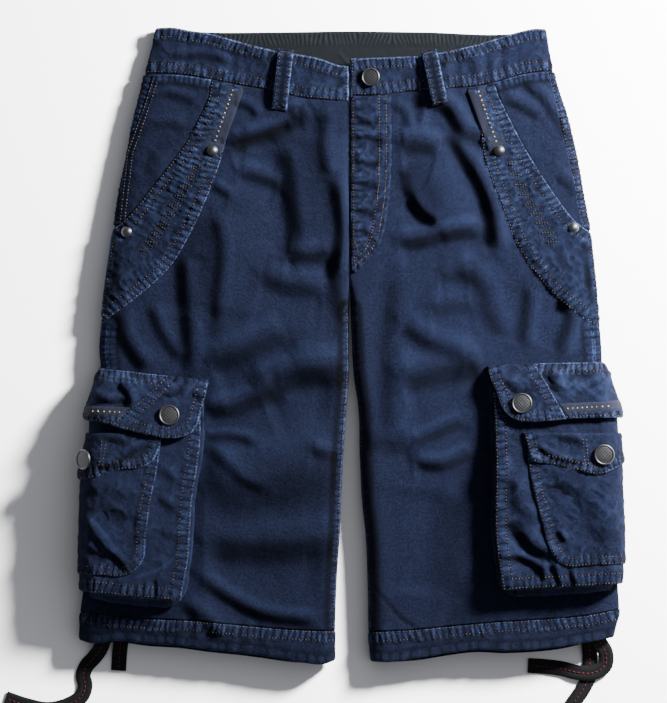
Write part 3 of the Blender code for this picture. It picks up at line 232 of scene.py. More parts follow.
def distances(points: Array) -> Array:
    """The distance of each point from the first, along the line through them."""
    return np.concatenate([[0.0], np.cumsum(np.linalg.norm(np.diff(points, axis=0), axis=1))])


def smoothstep(t: Array) -> Array:
    """Rises from 0 to 1 as 3t^2 - 2t^3 between t = 0 and t = 1."""
    t = np.clip(t, 0.0, 1.0)
    return t * t * (3 - 2 * t)


def bump(t: Array) -> Array:
    """A soft hill: e to the minus t^2."""
    return np.exp(-t * t)


class Line:
    """A smooth line on the garment through a few points (x, down)."""

    def __init__(self, points: Points, step: float = 2.5, straight: bool = False) -> None:
        """Spreads places evenly, about a step apart, on the curve through the points.

        Args:
            points: places (x, down).
            step: the distance.
            straight: joins the points by straight stretches.
        """
        places = np.array(points, float)
        runs = distances(places)
        stations = np.linspace(0, runs[-1], max(2, int(runs[-1] / step) + 1))
        if straight:
            axes = [np.interp(stations, runs, axis) for axis in places.T]
        else:
            axes = [Curve(runs, axis)(stations) for axis in places.T]
        self.places = np.column_stack(axes)
        self.along = distances(self.places)

    @property
    def length(self) -> float:
        """The line's length."""
        return float(self.along[-1])

    def at(self, along: Array) -> tuple[Array, Array]:
        """x and down at distances along the line."""
        return (np.interp(along, self.along, self.places[:, 0]),
                np.interp(along, self.along, self.places[:, 1]))

    def beside(self, along: Array, distance: Array) -> tuple[Array, Array]:
        """x and down at distances along the line and to its right, as one walks it with down as up.

        Args:
            along: distances along the line.
            distance: how far beside it.

        Returns:
            x and down.
        """
        x, down = self.at(along)
        ahead_x, ahead_down = self.at(np.asarray(along) + 1.0)
        behind_x, behind_down = self.at(np.asarray(along) - 1.0)
        run_x, run_down = ahead_x - behind_x, ahead_down - behind_down
        size = np.hypot(run_x, run_down) + 1e-9
        return x + distance * run_down / size, down - distance * run_x / size

    def nearest(self, x: Array, down: Array) -> tuple[Array, Array, Array]:
        """Distance to the line, distance along it and side of it, for each place.

        For each stretch of the line the place is dropped onto it, and the nearest stretch wins.

        Args:
            x: places' x.
            down: their down.

        Returns:
            The distance, the length along the line, and the signed distance (+ on its right).
        """
        shape = np.shape(x)
        blocks = max(1, np.size(x) // 8000)
        parts = [self._nearest(px[:, None], pd[:, None]) for px, pd in
                 zip(np.array_split(np.ravel(x), blocks), np.array_split(np.ravel(down), blocks))]
        return tuple(np.concatenate(column).reshape(shape) for column in zip(*parts))

    def _nearest(self, x: Array, down: Array) -> tuple[Array, Array, Array]:
        """The same for columns of places."""
        start, run = self.places[:-1], np.diff(self.places, axis=0)
        size = np.hypot(run[:, 0], run[:, 1])
        off_x, off_d = x - start[:, 0], down - start[:, 1]
        t = np.clip((off_x * run[:, 0] + off_d * run[:, 1]) / size**2, 0, 1)
        away = np.hypot(off_x - t * run[:, 0], off_d - t * run[:, 1])
        best = np.argmin(away, axis=1)
        rows = np.arange(len(best))
        along = self.along[:-1][best] + t[rows, best] * size[best]
        cross = (off_x * run[:, 1] - off_d * run[:, 0])[rows, best]
        distance = away[rows, best]
        return distance, along, np.sign(cross) * distance


class Grain:
    """Smooth noise on a plane: random values at whole numbers, eased between them."""

    SIZE = 64

    def __init__(self, seed: int) -> None:
        """Draws the table of values from a fixed seed."""
        self.table = np.random.default_rng(seed).random((self.SIZE, self.SIZE)) * 2 - 1

    def __call__(self, u: Array, v: Array) -> Array:
        """The noise, from -1 to 1, at each place (u, v).

        Args:
            u, v: places, in cells of the table.

        Returns:
            The four corner values of each place's cell, mixed by smoothstep.
        """
        u, v = np.broadcast_arrays(np.asarray(u, float), np.asarray(v, float))
        iu, iv = np.floor(u).astype(int), np.floor(v).astype(int)
        fu, fv = smoothstep(u - iu), smoothstep(v - iv)
        a, b = iu % self.SIZE, iv % self.SIZE
        a1, b1 = (a + 1) % self.SIZE, (b + 1) % self.SIZE
        table = self.table
        return ((table[a, b] * (1 - fu) + table[a1, b] * fu) * (1 - fv)
                + (table[a, b1] * (1 - fu) + table[a1, b1] * fu) * fv)


COARSE = Grain(11)
MEDIUM = Grain(12)
FINE = Grain(13)
LADDER = Grain(14)


# ------------------------------------------------------------------ folds
UPPER_RIGHT = (0.83, 0.56)     # the way that the folds' crests face


def crumpled(x: Array, down: Array, size: float) -> Array:
    """Crumpled cloth, from -1 to 1: sharp ridges where two turned noises pass through nought."""
    u, v = (0.8 * x + 0.6 * down) / size, (0.8 * down - 0.6 * x) / size
    return 0.6 - 1.2 * np.abs(COARSE(u + 5, v)) + 0.4 - 0.8 * np.abs(MEDIUM(1.9 * v + 3, 1.8 * u))


@dataclass(frozen=True)
class Fold:
    """A fold whose shaded flank runs along a line (x, down) and climbs towards the upper right."""

    points: Points
    half_width: float      # of the shaded flank
    steep: float           # its slope

    def profile(self, t: Array, side: Array) -> Array:
        """Height over slope times width: t / (1 + t^4)^(1/4) e^(-(t / r)^2), where t is the distance
        in half widths, side is -1 on the lower left and 1 on the upper right, and r is 3.4 and 2.4."""
        return side * t / (1 + t**4)**0.25 * bump(t / np.where(side > 0, 2.4, 3.4))

    def dye(self, t: Array, side: Array) -> Array:
        """Painted shade and highlight: 1 on the shaded flank, and below 0 on the crest on the upper-right
        side, a painted highlight where it faces the lamp.
        """
        return bump(t / 1.15) - 0.6 * bump((t - 2.1) / 0.9) * (side > 0)

    def spread(self, profile: Callable[[Array, Array], Array], x: Array, down: Array) -> Array:
        """A profile laid across the line and tapered towards both of its ends.

        Args:
            profile: a value of the distance in half widths and of the side.
            x, down: the places.

        Returns:
            The value at each place, and nought away from the line.
        """
        low = np.min(self.points, axis=0) - 7.5 * self.half_width
        high = np.max(self.points, axis=0) + 7.5 * self.half_width
        near = (x > low[0]) & (x < high[0]) & (down > low[1]) & (down < high[1])
        laid = np.zeros(np.shape(x))
        if near.any():
            line = Line(self.points, step=5.0)
            distance, along, _ = line.nearest(x[near], down[near])
            on_x, on_down = line.at(along)
            offset = (x[near] - on_x) * UPPER_RIGHT[0] - (down[near] - on_down) * UPPER_RIGHT[1]
            share = along / line.length
            taper = smoothstep(np.minimum(share, 1 - share) * 5.0 + 0.3)
            laid[near] = profile(distance / self.half_width, np.tanh(4 * offset / (distance + 0.5))) * taper
        return laid

    def relief(self, x: Array, down: Array) -> Array:
        """Height of the fold."""
        return self.steep * self.half_width * self.spread(self.profile, x, down)

    def tint(self, x: Array, down: Array) -> Array:
        """Painted shade on the fold's flank and painted highlight on its crest, more where it is steep."""
        return min(1.0, abs(self.steep) * 1.4) * self.spread(self.dye, x, down)


@dataclass(frozen=True)
class Crease(Fold):
    """A trough along a line with like flanks, or a ridge where steep is negative."""

    def profile(self, t: Array, side: Array) -> Array:
        """Minus a soft hill across the line."""
        return -bump(t)

    def dye(self, t: Array, side: Array) -> Array:
        """Painted shade in a trough, and a pale mark of wear on a ridge."""
        return bump(t / 0.9) * math.copysign(1.0, self.steep)


FOLDS = {
    LEFT: [
        Fold([(-122, 122), (-85, 109), (-38, 86)], 6.5, 1.3),
        Crease([(-116, 119), (-85, 109), (-60, 98)], 6.0, 0.8),
        Fold([(-102, 106), (-111, 115), (-114, 124)], 6, 0.45),
        Fold([(-113, 147), (-95, 151), (-72, 160)], 6, 0.55),
        Fold([(-72, 120), (-64, 148), (-61, 178), (-58, 208), (-62, 230)], 10, 0.55),
        Fold([(-44, 108), (-34, 170), (-34, 232)], 15, 0.32),
        Fold([(-66, 229), (-46, 231), (-20, 229)], 7, 0.6),
        Fold([(-91, 253), (-61, 262), (-27, 266)], 9, 0.45),
        Fold([(-139, 185), (-132, 213), (-132, 240), (-135, 265), (-136, 306)], 5.5, 0.32),
        Fold([(-152, 188), (-148, 230), (-150, 290)], 20, 0.22),
        Fold([(-171, 226), (-169, 263), (-165, 303), (-163, 346)], 7, 0.5),
        Fold([(-236, 284), (-229, 311), (-206, 344)], 6.5, 0.5),
        Fold([(-203, 278), (-190, 308), (-172, 334)], 5.5, 0.42),
        Fold([(-139, 159), (-121, 171)], 4, 0.5),
        Fold([(-160, 229), (-146, 231)], 4, 0.25),
        Fold([(-19, 150), (-15, 172), (-11, 205), (-15, 243), (-12, 272), (-6, 300)], 6.5, 0.7),
        Fold([(-24, 80), (-30, 110), (-26, 150)], 5, 0.3),
        Fold([(-92, 366), (-61, 354), (-1, 347)], 12, 0.75),
        Fold([(-141, 341), (-106, 328), (-62, 309)], 10, 0.6),
        Fold([(-147, 385), (-122, 384), (-98, 376), (-72, 366)], 7.5, 0.65),
        Fold([(-146, 412), (-116, 411), (-98, 416)], 4, 0.5),
        Fold([(-148, 418), (-128, 436), (-108, 454), (-86, 464)], 5.0, 0.3),
        Fold([(-146, 470), (-100, 470), (-61, 462), (-4, 440)], 22, 0.42),
        Fold([(-40, 424), (-12, 431)], 5, 0.5),
        Fold([(-146, 522), (-81, 526), (-8, 517)], 14, 0.48),
        Fold([(-154, 550), (-123, 573), (-89, 589), (-34, 597)], 5.5, 0.6),
        Fold([(-170, 577), (-146, 595), (-130, 612)], 6, 0.45),
        Fold([(-212, 75), (-184, 68), (-156, 76)], 4, 0.4),
        Fold([(-216, 108), (-190, 98), (-165, 101)], 4.5, 0.35),
        Fold([(-205, 150), (-196, 128), (-180, 112)], 6, 0.2),
        Fold([(-118, 77), (-104, 80), (-94, 90)], 4, 0.5),
        Fold([(-82, 91), (-66, 84), (-50, 80)], 4, 0.55),
        Fold([(-62, 84), (-52, 91), (-46, 80)], 4, 0.2),
        Fold([(-34, 86), (-26, 91), (-14, 88)], 4, 0.2)],
    RIGHT: [
        Fold([(74, 76), (95, 82), (104, 96), (114, 108), (132, 113)], 6.5, 0.75),
        Fold([(96, 106), (113, 132), (128, 158), (138, 185), (143, 226)], 6.5, 0.85),
        Fold([(50, 121), (69, 120), (88, 126)], 8, 0.6),
        Fold([(52, 142), (55, 158), (62, 172)], 5, 0.3),
        Fold([(58, 170), (68, 184), (86, 198)], 5, 0.6),
        Fold([(56, 136), (72, 168), (86, 200)], 17, 0.3),
        Fold([(46, 218), (74, 215), (99, 209), (130, 206)], 7, 0.9),
        Fold([(98, 240), (116, 246), (131, 262), (137, 286), (151, 312)], 8, 0.36),
        Fold([(88, 250), (118, 252)], 7, 0.35),
        Fold([(78, 284), (122, 279)], 7, 0.35),
        Fold([(50, 299), (70, 314), (116, 330)], 8, 0.5),
        Fold([(176, 260), (173, 288), (170, 320)], 6, 0.45),
        Fold([(205, 272), (217, 288), (212, 308), (204, 326)], 6, 0.55),
        Fold([(50, 358), (84, 350), (134, 342)], 11, 0.6),
        Fold([(62, 419), (89, 406), (114, 395)], 5.5, 0.6),
        Fold([(64, 438), (88, 440), (124, 426)], 5.5, 0.6),
        Fold([(13, 421), (60, 418)], 9, 0.3),
        Fold([(44, 246), (37, 310), (35, 410)], 9, 0.3),
        Fold([(100, 462), (96, 570)], 20, 0.26),
        Crease([(19, 555), (34, 573), (49, 591), (66, 602)], 1.7, 0.9),
        Fold([(239, 297), (246, 314)], 4, 0.35),
        Fold([(151, 73), (170, 80), (190, 92)], 5, 0.5),
        Fold([(171, 55), (190, 72), (207, 95), (214, 114)], 4.5, 0.5),
        Fold([(205, 150), (219, 160), (222, 172)], 5, 0.45),
        Fold([(40, 78), (52, 86), (56, 100)], 4, 0.4),
        Fold([(62, 66), (70, 80), (66, 94)], 4, 0.35)]}
FACE_FOLDS = {
    LEFT: [
        Fold([(-193, 471), (-176, 483)], 4, 0.35), Fold([(-194, 443), (-176, 452)], 4, 0.3),
        Crease([(-221, 552), (-186, 538), (-173, 527)], 1.6, -0.6),
        Crease([(-196, 552), (-194, 571)], 2, 0.9),
        Fold([(-191, 502), (-170, 512)], 5, 0.2)],
    RIGHT: [
        Fold([(157, 448), (163, 480), (176, 500)], 7, 0.5),
        Fold([(152, 493), (169, 508), (180, 521), (196, 528)], 5.5, 0.8),
        Fold([(149, 529), (169, 531), (184, 538), (194, 553)], 3.2, 0.9),
        Fold([(199, 536), (209, 558)], 3, 0.8), Fold([(217, 541), (224, 561)], 2.6, 0.7),
        Crease([(152, 508), (174, 530), (199, 537)], 4, -0.3),
        Crease([(146, 425), (146, 480), (150, 530), (154, 562)], 15, -0.3)]}
PATCH_FOLDS = {
    LEFT: [
        Fold([(-268, 491), (-247, 518), (-231, 533), (-222, 543)], 3.2, 0.8),
        Crease([(-262, 488), (-238, 516)], 2.4, -0.6), Fold([(-268, 516), (-246, 529)], 3.5, 0.5),
        Fold([(-252, 478), (-226, 488), (-214, 486)], 7, 0.3), Fold([(-262, 462), (-215, 470)], 6, 0.25)],
    RIGHT: [
        Fold([(204, 448), (226, 466), (246, 500), (259, 520)], 10, 0.2),
        Fold([(204, 503), (212, 514)], 2.6, 0.8), Fold([(200, 455), (216, 470)], 6, 0.3),
        Crease([(177, 440), (182, 468), (189, 493), (195, 515), (205, 532)], 7, -0.2)]}
FLAP_FOLDS = {
    LEFT: [
        Fold([(-231, 356), (-223, 368), (-221, 377)], 3.6, 0.7),
        Fold([(-262, 366), (-241, 374), (-221, 374)], 3, 0.8),
        Fold([(-168, 344), (-165, 358), (-171, 365), (-186, 368)], 2.6, 0.7),
        Fold([(-158, 366), (-148, 372)], 3, 0.5)],
    RIGHT: [
        Crease([(212, 373), (232, 358), (249, 351)], 2.6, -0.6), Crease([(234, 370), (262, 350)], 2.6, -0.5),
        Fold([(196, 342), (206, 366)], 4, 0.6), Fold([(154, 354), (166, 364), (178, 360)], 4, 0.5),
        Fold([(222, 344), (238, 348), (246, 343)], 3, 0.5)]}
WAIST_FOLDS = {
    LEFT: [
        Fold([(-183, 30), (-136, 31), (-119, 39)], 3.5, 0.45),
        Fold([(-160, 12), (-120, 22), (-90, 33)], 5, 0.2),
        Crease([(-48, 62), (-30, 66), (-8, 68)], 7, -0.3)],
    RIGHT: [
        Fold([(104, 24), (118, 34), (126, 50)], 4.5, 0.3),
        Fold([(40, 40), (60, 52), (72, 58)], 6, 0.2)]}
FLY_FOLDS = [Fold(points, half_width, 0.45) for half_width, points in (
    (3.0, [(3, 92), (18, 96), (34, 90)]), (3.5, [(2, 112), (16, 110), (33, 117)]),
    (3.2, [(3, 133), (20, 138), (35, 134)]), (3.6, [(2, 158), (14, 156), (30, 163)]),
    (3.2, [(3, 181), (18, 186), (30, 182)]), (3.2, [(2, 206), (12, 204), (22, 210)]))]
PATCH_FLAP_FOLDS = {
    LEFT: [
        Fold([(-201, 418), (-221, 428), (-236, 438), (-253, 441)], 3, 0.8),
        Fold([(-246, 412), (-224, 415)], 4, 0.5)],
    RIGHT: [
        Fold([(184, 420), (199, 429), (214, 434), (228, 435)], 2.6, 0.9),
        Fold([(204, 411), (228, 415)], 4, 0.5),
        Crease([(176, 416), (181, 431), (199, 434), (224, 440), (249, 444)], 6, -0.25)]}


class Form:
    """A surface of the garment over places (x, down), in frame millimetres."""

    outward = 1.0              # -1 where the cloth's outer side faces the ground

    def place(self, x: Array, down: Array) -> Array:
        """The surface's points, as an array (..., 3)."""
        raise NotImplementedError

    def lifted(self, x: Array, down: Array, lift: Array) -> Array:
        """Points moved out by lift along the normal, which two central differences give.

        Args:
            x, down: the places.
            lift: how far out, in millimetres.

        Returns:
            The points, (..., 3).
        """
        reach = 0.8
        x, down = np.asarray(x, float), np.asarray(down, float)
        across = self.place(x + reach, down) - self.place(x - reach, down)
        upward = self.place(x, down - reach) - self.place(x, down + reach)
        normal = np.cross(across, upward) * self.outward
        normal /= np.linalg.norm(normal, axis=-1, keepdims=True) + 1e-12
        return self.place(x, down) + normal * np.asarray(lift)[..., None]


def stacked(x: Array, down: Array, z: Array) -> Array:
    """Frame millimetres (..., 3) of garment places with a height."""
    x, down, z = np.broadcast_arrays(x, down, z)
    return np.stack([x - CENTRE_X, CENTRE_DOWN - down, z], axis=-1)


class LegForm(Form):
    """The front of one leg: a low vault with rounded edges, a dip at the crotch and the folds."""

    def __init__(self, side: Side) -> None:
        """Reads the side's columns of the tables."""
        column = 1 if side is LEFT else 2
        self.side = side
        self.outer = Curve(OUTER_EDGE[:, 0], OUTER_EDGE[:, column])
        self.inner = Curve(INNER_EDGE[:, 0], INNER_EDGE[:, column])
        self.crown, self.seam, self.outer_round, self.inner_round = (
            Curve(HEIGHTS[:, 0], HEIGHTS[:, i]) for i in (1, 2, 3, 4))
        self.waist = by_x(WAIST_SEAM[side])
        self.hem = by_x(HEM_SEAM[side])

    def top(self, x: Array, down: Array) -> Array:
        """Height of the vault without folds: the crown, less a share of the squared offset."""
        outer, inner = self.outer(down), self.inner(down)
        return self.crown(down) * (1 - LEG_DOME * (2 * (x - outer) / (inner - outer) - 1)**2)

    def gathers(self, x: Array, down: Array) -> Array:
        """Small ridges out of the waist seam and the hem seam that die out within 20 mm."""
        below = np.clip(down - self.waist(x), 0, None)
        above = np.clip(self.hem(x) - down, 0, None)
        waist = LADDER(x / 7.5 + below * 0.02, below / 26) * np.exp(-below / 9.0)
        hem = LADDER(x / 8.5 + 31, above / 22) * np.exp(-above / 9.0)
        return 0.8 * waist + 0.7 * hem

    def height(self, x: Array, down: Array) -> Array:
        """Height of the outer surface: the vault and its relief, brought down at the edges
        along quarter ellipses to the side seam and to the inseam.

        Args:
            x, down: the places.

        Returns:
            The heights, in millimetres.
        """
        sign = self.side.value
        outer, inner = self.outer(down), self.inner(down)
        across = np.clip((x - outer) / (inner - outer), 0, 1)
        from_outer = np.clip(-(x - outer) * sign, 0, None)
        from_inner = np.clip(-(inner - x) * sign, 0, None)
        crown = self.top(x, down)
        relief = sum(fold.relief(x, down) for fold in FOLDS[self.side])
        relief = relief + 0.9 * COARSE(x / 52 + 7, down / 60) + 0.32 * MEDIUM(x / 19, down / 23)
        relief = relief + 0.10 * FINE(x / 6.5, down / 8) + self.gathers(x, down)
        joined = 1 - smoothstep((down - CROTCH_DOWN + CROTCH_EASE) / (2 * CROTCH_EASE))
        free = from_inner * (1.0 + 2.0 * joined)
        calm = smoothstep(np.minimum(from_outer, free) / 24.0 * 0.75 + 0.25 * joined)
        top = crown + relief * calm
        outer_reach = np.clip(1 - from_outer / self.outer_round(down), 0, 1)
        inner_reach = np.clip(1 - from_inner / self.inner_round(down), 0, 1)
        seam = self.seam(down) + SEAM_GROOVE
        drop = smoothstep((down - CROTCH_DOWN) / (CROTCH_END - CROTCH_DOWN))
        inseam = crown + (INSEAM_HEIGHT + SEAM_GROOVE - crown) * drop
        return np.where(across < 0.5, seam + (top - seam) * np.sqrt(1 - outer_reach**2),
                        inseam + (top - inseam) * np.sqrt(1 - inner_reach**2))

    def place(self, x: Array, down: Array) -> Array:
        """The outer surface's points."""
        return stacked(x, down, self.height(x, down))

    def back_height(self, x: Array, down: Array) -> Array:
        """Height of the back's under surface: flat, rolled up by quarter ellipses to the seams.

        Args:
            x, down: the places.

        Returns:
            The heights, in millimetres.
        """
        sign = self.side.value
        seam = self.seam(down) - SEAM_GROOVE
        crotch = smoothstep((down - CROTCH_DOWN + 25) / (CROTCH_END - CROTCH_DOWN + 25))
        outer = np.clip(1 + (x - self.outer(down)) * sign / (BACK_ROUND * seam), 0, 1)
        inner = np.clip(1 + (self.inner(down) - x) * sign / (BACK_ROUND * INSEAM_HEIGHT), 0, 1)
        return (seam * (1 - np.sqrt(1 - outer**2))
                + (INSEAM_HEIGHT - SEAM_GROOVE) * crotch * (1 - np.sqrt(1 - inner**2)))


class BagForm(Form):
    """A side pocket's face, unrolled: x goes on past the rounded side, down the wall, round the
    foot and under the leg."""

    def __init__(self, leg: LegForm) -> None:
        """Reads the side's columns of the pocket's table."""
        column = 1 if leg.side is LEFT else 2
        self.leg, self.side = leg, leg.side
        self.outer = Curve(BAG[:, 0], BAG[:, column])
        self.front = Curve(BAG[:, 0], BAG[:, column + 2])
        self.rise = Curve(BAG[:, 0], BAG[:, 5])
        self.bottom = by_x(BAG_BOTTOM[leg.side])
        self.seam = by_x(FLAP_TOP[leg.side])
        self.creases = FACE_FOLDS[leg.side]

    def top(self, x: Array, down: Array) -> Array:
        """Height of the face over the leg: the leg's vault, the rise and a pillow (half a sine)."""
        across = np.clip((x - self.front(down)) / (self.outer(down) - self.front(down)), 0, 1)
        pillow = np.sin(math.pi * np.clip(across * 0.9, 0, 1)) * BAG_PILLOW
        return self.leg.top(x, down) + self.rise(down) + pillow

    def corner_x(self, down: Array) -> Array:
        """x at which the face starts to turn down the side."""
        return self.outer(down) - self.side.value * BAG_CORNER

    def end_x(self, down: Array, height: float) -> Array:
        """Unrolled x of a place that lies at a height on the side wall."""
        sign = self.side.value
        corner_x = self.corner_x(down)
        wall_top = self.top(corner_x, down) - BAG_CORNER
        return corner_x + sign * (BAG_CORNER * math.pi / 2 + np.maximum(wall_top - height, 0.2))

    def unrolled(self, x: Array, down: Array) -> Array:
        """Unrolled x of a place seen from above on the rounded side."""
        sign = self.side.value
        past = np.clip((x - self.corner_x(down)) * sign / BAG_CORNER, 0, 0.999)
        return np.where(past > 0, self.corner_x(down) + sign * BAG_CORNER * np.arcsin(past), x)

    def section(self, x: Array, down: Array, lift: Array) -> tuple[Array, Array]:
        """x and z of the section: straight top, quarter round, wall, quarter round, lip.

        Args:
            x, down: the places.
            lift: distance off the face.

        Returns:
            x as seen from above, and z.
        """
        sign = self.side.value
        corner_x = self.corner_x(down)
        rest = (x - corner_x) * sign
        top_x = np.where(rest > 0, corner_x, x)
        top_z = self.top(top_x, down)
        radius = BAG_CORNER + lift
        turn = np.clip(rest / BAG_CORNER, 0, math.pi / 2)
        rest = rest - BAG_CORNER * math.pi / 2
        wall = np.maximum(top_z - BAG_CORNER - BAG_FOOT, 0.5)
        foot = np.clip((rest - wall) / BAG_FOOT, 0, math.pi / 2)
        lip = np.clip(rest - wall - BAG_FOOT * math.pi / 2, 0, None)
        out = radius * np.sin(turn) - BAG_FOOT * (1 - np.cos(foot)) - lip
        z = top_z - BAG_CORNER + radius * np.cos(turn) - np.clip(rest, 0, wall) - BAG_FOOT * np.sin(foot)
        return top_x + sign * out, z

    def relief(self, x: Array, down: Array) -> Array:
        """Listed creases and soft unevenness, still at the foot and the lip."""
        relief = 0.55 * COARSE(x / 31 + 3, down / 35) + 0.28 * MEDIUM(x / 12, down / 15)
        relief = relief + sum(fold.relief(x, down) for fold in self.creases)
        still = 1 - smoothstep(((x - self.corner_x(down)) * self.side.value - 24) / 10)
        return relief * still

    def place(self, x: Array, down: Array) -> Array:
        """The face's points."""
        bag_x, z = self.section(x, down, 0.0)
        sunk = smoothstep((down - self.seam(x)) / 12)
        return stacked(bag_x, down, z + self.relief(x, down) * sunk)


class FlapForm(Form):
    """A side pocket's flap: it leaves the leg at its seam, climbs onto the pocket and stands off."""

    def __init__(self, bag: BagForm) -> None:
        """Keeps the pocket that the flap covers."""
        self.bag, self.side = bag, bag.side
        self.room = Curve(FLAP_ROOM[:, 0], FLAP_ROOM[:, 1])
        self.creases = FLAP_FOLDS[bag.side]

    def place(self, x: Array, down: Array) -> Array:
        """The flap's under side: from the leg's section to the pocket's, eased over the ramp.

        Args:
            x, down: the places.

        Returns:
            The points, (..., 3).
        """
        bag, leg, sign = self.bag, self.bag.leg, self.side.value
        below = down - bag.seam(x)
        room = self.room(np.clip(below, 0, None))
        high_x, high_z = bag.section(x, down, room)
        corner_x = leg.outer(down) - sign * BAG_CORNER
        rest = (x - corner_x) * sign
        turn = np.clip(rest / BAG_CORNER, 0, math.pi / 2)
        hang = np.clip(rest - BAG_CORNER * math.pi / 2, 0, 12.0) / 12.0
        low_x = np.where(rest > 0, corner_x, x) + sign * BAG_CORNER * np.sin(turn)
        low_z = leg.height(low_x, down) + room * np.cos(turn) - FLAP_HANG * hang
        raised = smoothstep(below / FLAP_RAMP)
        relief = 0.5 * COARSE(x / 26 + 9, down / 22) + sum(f.relief(x, down) for f in self.creases)
        return stacked(low_x + (high_x - low_x) * raised + sign * room * np.sin(turn) * (1 - raised), down,
                       low_z + (high_z - low_z) * raised + relief * smoothstep(below / 18))


# ------------------------------------------------------------------ shader graphs
class Value:
    """A shader socket in arithmetic: every operator adds one Math node."""

    def __init__(self, graph: "Graph", socket: bpy.types.NodeSocket) -> None:
        """Keeps the graph and the output socket."""
        self.graph, self.socket = graph, socket

    def math(self, operation: str, *others: "Value | float", clamp: bool = False) -> "Value":
        """One Math node on this value and the others."""
        return self.graph.add("ShaderNodeMath", {"operation": operation, "use_clamp": clamp},
                              dict(enumerate((self, *others))))

    def __add__(self, other: "Value | float") -> "Value":
        """The sum."""
        return self.math("ADD", other)

    def __sub__(self, other: "Value | float") -> "Value":
        """This value less another."""
        return self.math("SUBTRACT", other)

    def __rsub__(self, other: float) -> "Value":
        """A number less this value."""
        return self.graph.add("ShaderNodeMath", {"operation": "SUBTRACT"}, {0: other, 1: self})

    def __mul__(self, other: "Value | float") -> "Value":
        """The product."""
        return self.math("MULTIPLY", other)

    __radd__ = __add__
    __rmul__ = __mul__

    def clipped(self) -> "Value":
        """The value kept between 0 and 1."""
        return self.math("ADD", 0.0, clamp=True)

    def falling(self, start: float, end: float) -> "Value":
        """1 below start, 0 above end, and smooth between them."""
        return 1.0 - self.rising(start, end)

    def rising(self, start: float, end: float) -> "Value":
        """0 below start, 1 above end, and smooth between them."""
        return self.graph.add("ShaderNodeMapRange", {"interpolation_type": "SMOOTHSTEP"},
                              {"Value": self, "From Min": start, "From Max": end})


class Graph:
    """A material's nodes."""

    def __init__(self, name: str, **shader: object) -> None:
        """Starts a material whose Principled shader has constant sockets set by name."""
        self.material = bpy.data.materials.new(name)
        self.material.use_nodes = True
        self.nodes = self.material.node_tree.nodes
        self.links = self.material.node_tree.links
        self.shader = self.nodes["Principled BSDF"]
        for socket, value in shader.items():
            self.shader.inputs[socket.replace("_", " ")].default_value = value

    def add(self, kind: str, settings: dict | None = None, inputs: dict | None = None,
            output: int | str = 0) -> Value:
        """Adds any node.

        Args:
            kind: the node's type.
            settings: its properties, or ramp stops under "stops", set first.
            inputs: values or links of its sockets, by name or number.
            output: the socket that is returned.

        Returns:
            The chosen output.
        """
        node = self.nodes.new(kind)
        for name, value in (settings or {}).items():
            if name == "stops":
                ramp = node.color_ramp
                while len(ramp.elements) < len(value):
                    ramp.elements.new(1.0)
                for element, (position, colour) in zip(ramp.elements, value):
                    element.position, element.color = position, colour
            else:
                setattr(node, name, value)
        for name, value in (inputs or {}).items():
            self.put(node.inputs[name], value)
        return Value(self, node.outputs[output])

    def put(self, socket: bpy.types.NodeSocket, value: object) -> None:
        """Links or sets one input socket."""
        if isinstance(value, Value):
            self.links.new(value.socket, socket)
        else:
            socket.default_value = value

    def mix(self, factor: Value | float, low: object, high: object) -> Value:
        """Mixes two colours."""
        return self.add("ShaderNodeMix", {"data_type": "RGBA"}, {0: factor, 6: low, 7: high}, 2)

    def noise(self, vector: Value, scale: float, detail: float = 2.0, rough: float = 0.5) -> Value:
        """Noise from 0 to 1 with scale features a metre."""
        return self.add("ShaderNodeTexNoise", {},
                        {"Vector": vector, "Scale": scale, "Detail": detail, "Roughness": rough})

    def place(self) -> Value:
        """Object coordinates, in metres."""
        return self.add("ShaderNodeTexCoord", {}, {}, "Object")

    def cloth(self) -> tuple[Value, Value, Value]:
        """The piece's own map, in metres across and along the cloth."""
        return self.parts(self.add("ShaderNodeUVMap", {"uv_map": "cloth"}))

    def attribute(self, name: str) -> tuple[Value, Value, Value]:
        """The three parts of a vector attribute."""
        return self.parts(self.add("ShaderNodeAttribute", {"attribute_name": name}, {}, "Vector"))

    def parts(self, vector: Value) -> tuple[Value, Value, Value]:
        """x, y and z of a vector."""
        node = self.nodes.new("ShaderNodeSeparateXYZ")
        self.links.new(vector.socket, node.inputs[0])
        return tuple(Value(self, node.outputs[i]) for i in range(3))

    def combined(self, x: Value, y: Value) -> Value:
        """A vector of two values."""
        return self.add("ShaderNodeCombineXYZ", {}, {0: x, 1: y})

    def relief(self, height: Value, distance: float) -> None:
        """Feeds a height in metres times distance into the shader's normal."""
        bump_node = self.add("ShaderNodeBump", {}, {"Distance": distance, "Height": height})
        self.put(self.shader.inputs["Normal"], bump_node)

    def colour(self, value: Value) -> None:
        """Feeds the base colour."""
        self.put(self.shader.inputs["Base Color"], value)


Colour = tuple[float, float, float, float]


@dataclass(frozen=True)
class Finish:
    """A finish of one of the shorts' materials."""

    name: str

    def material(self) -> bpy.types.Material:
        """Makes its material."""
        raise NotImplementedError


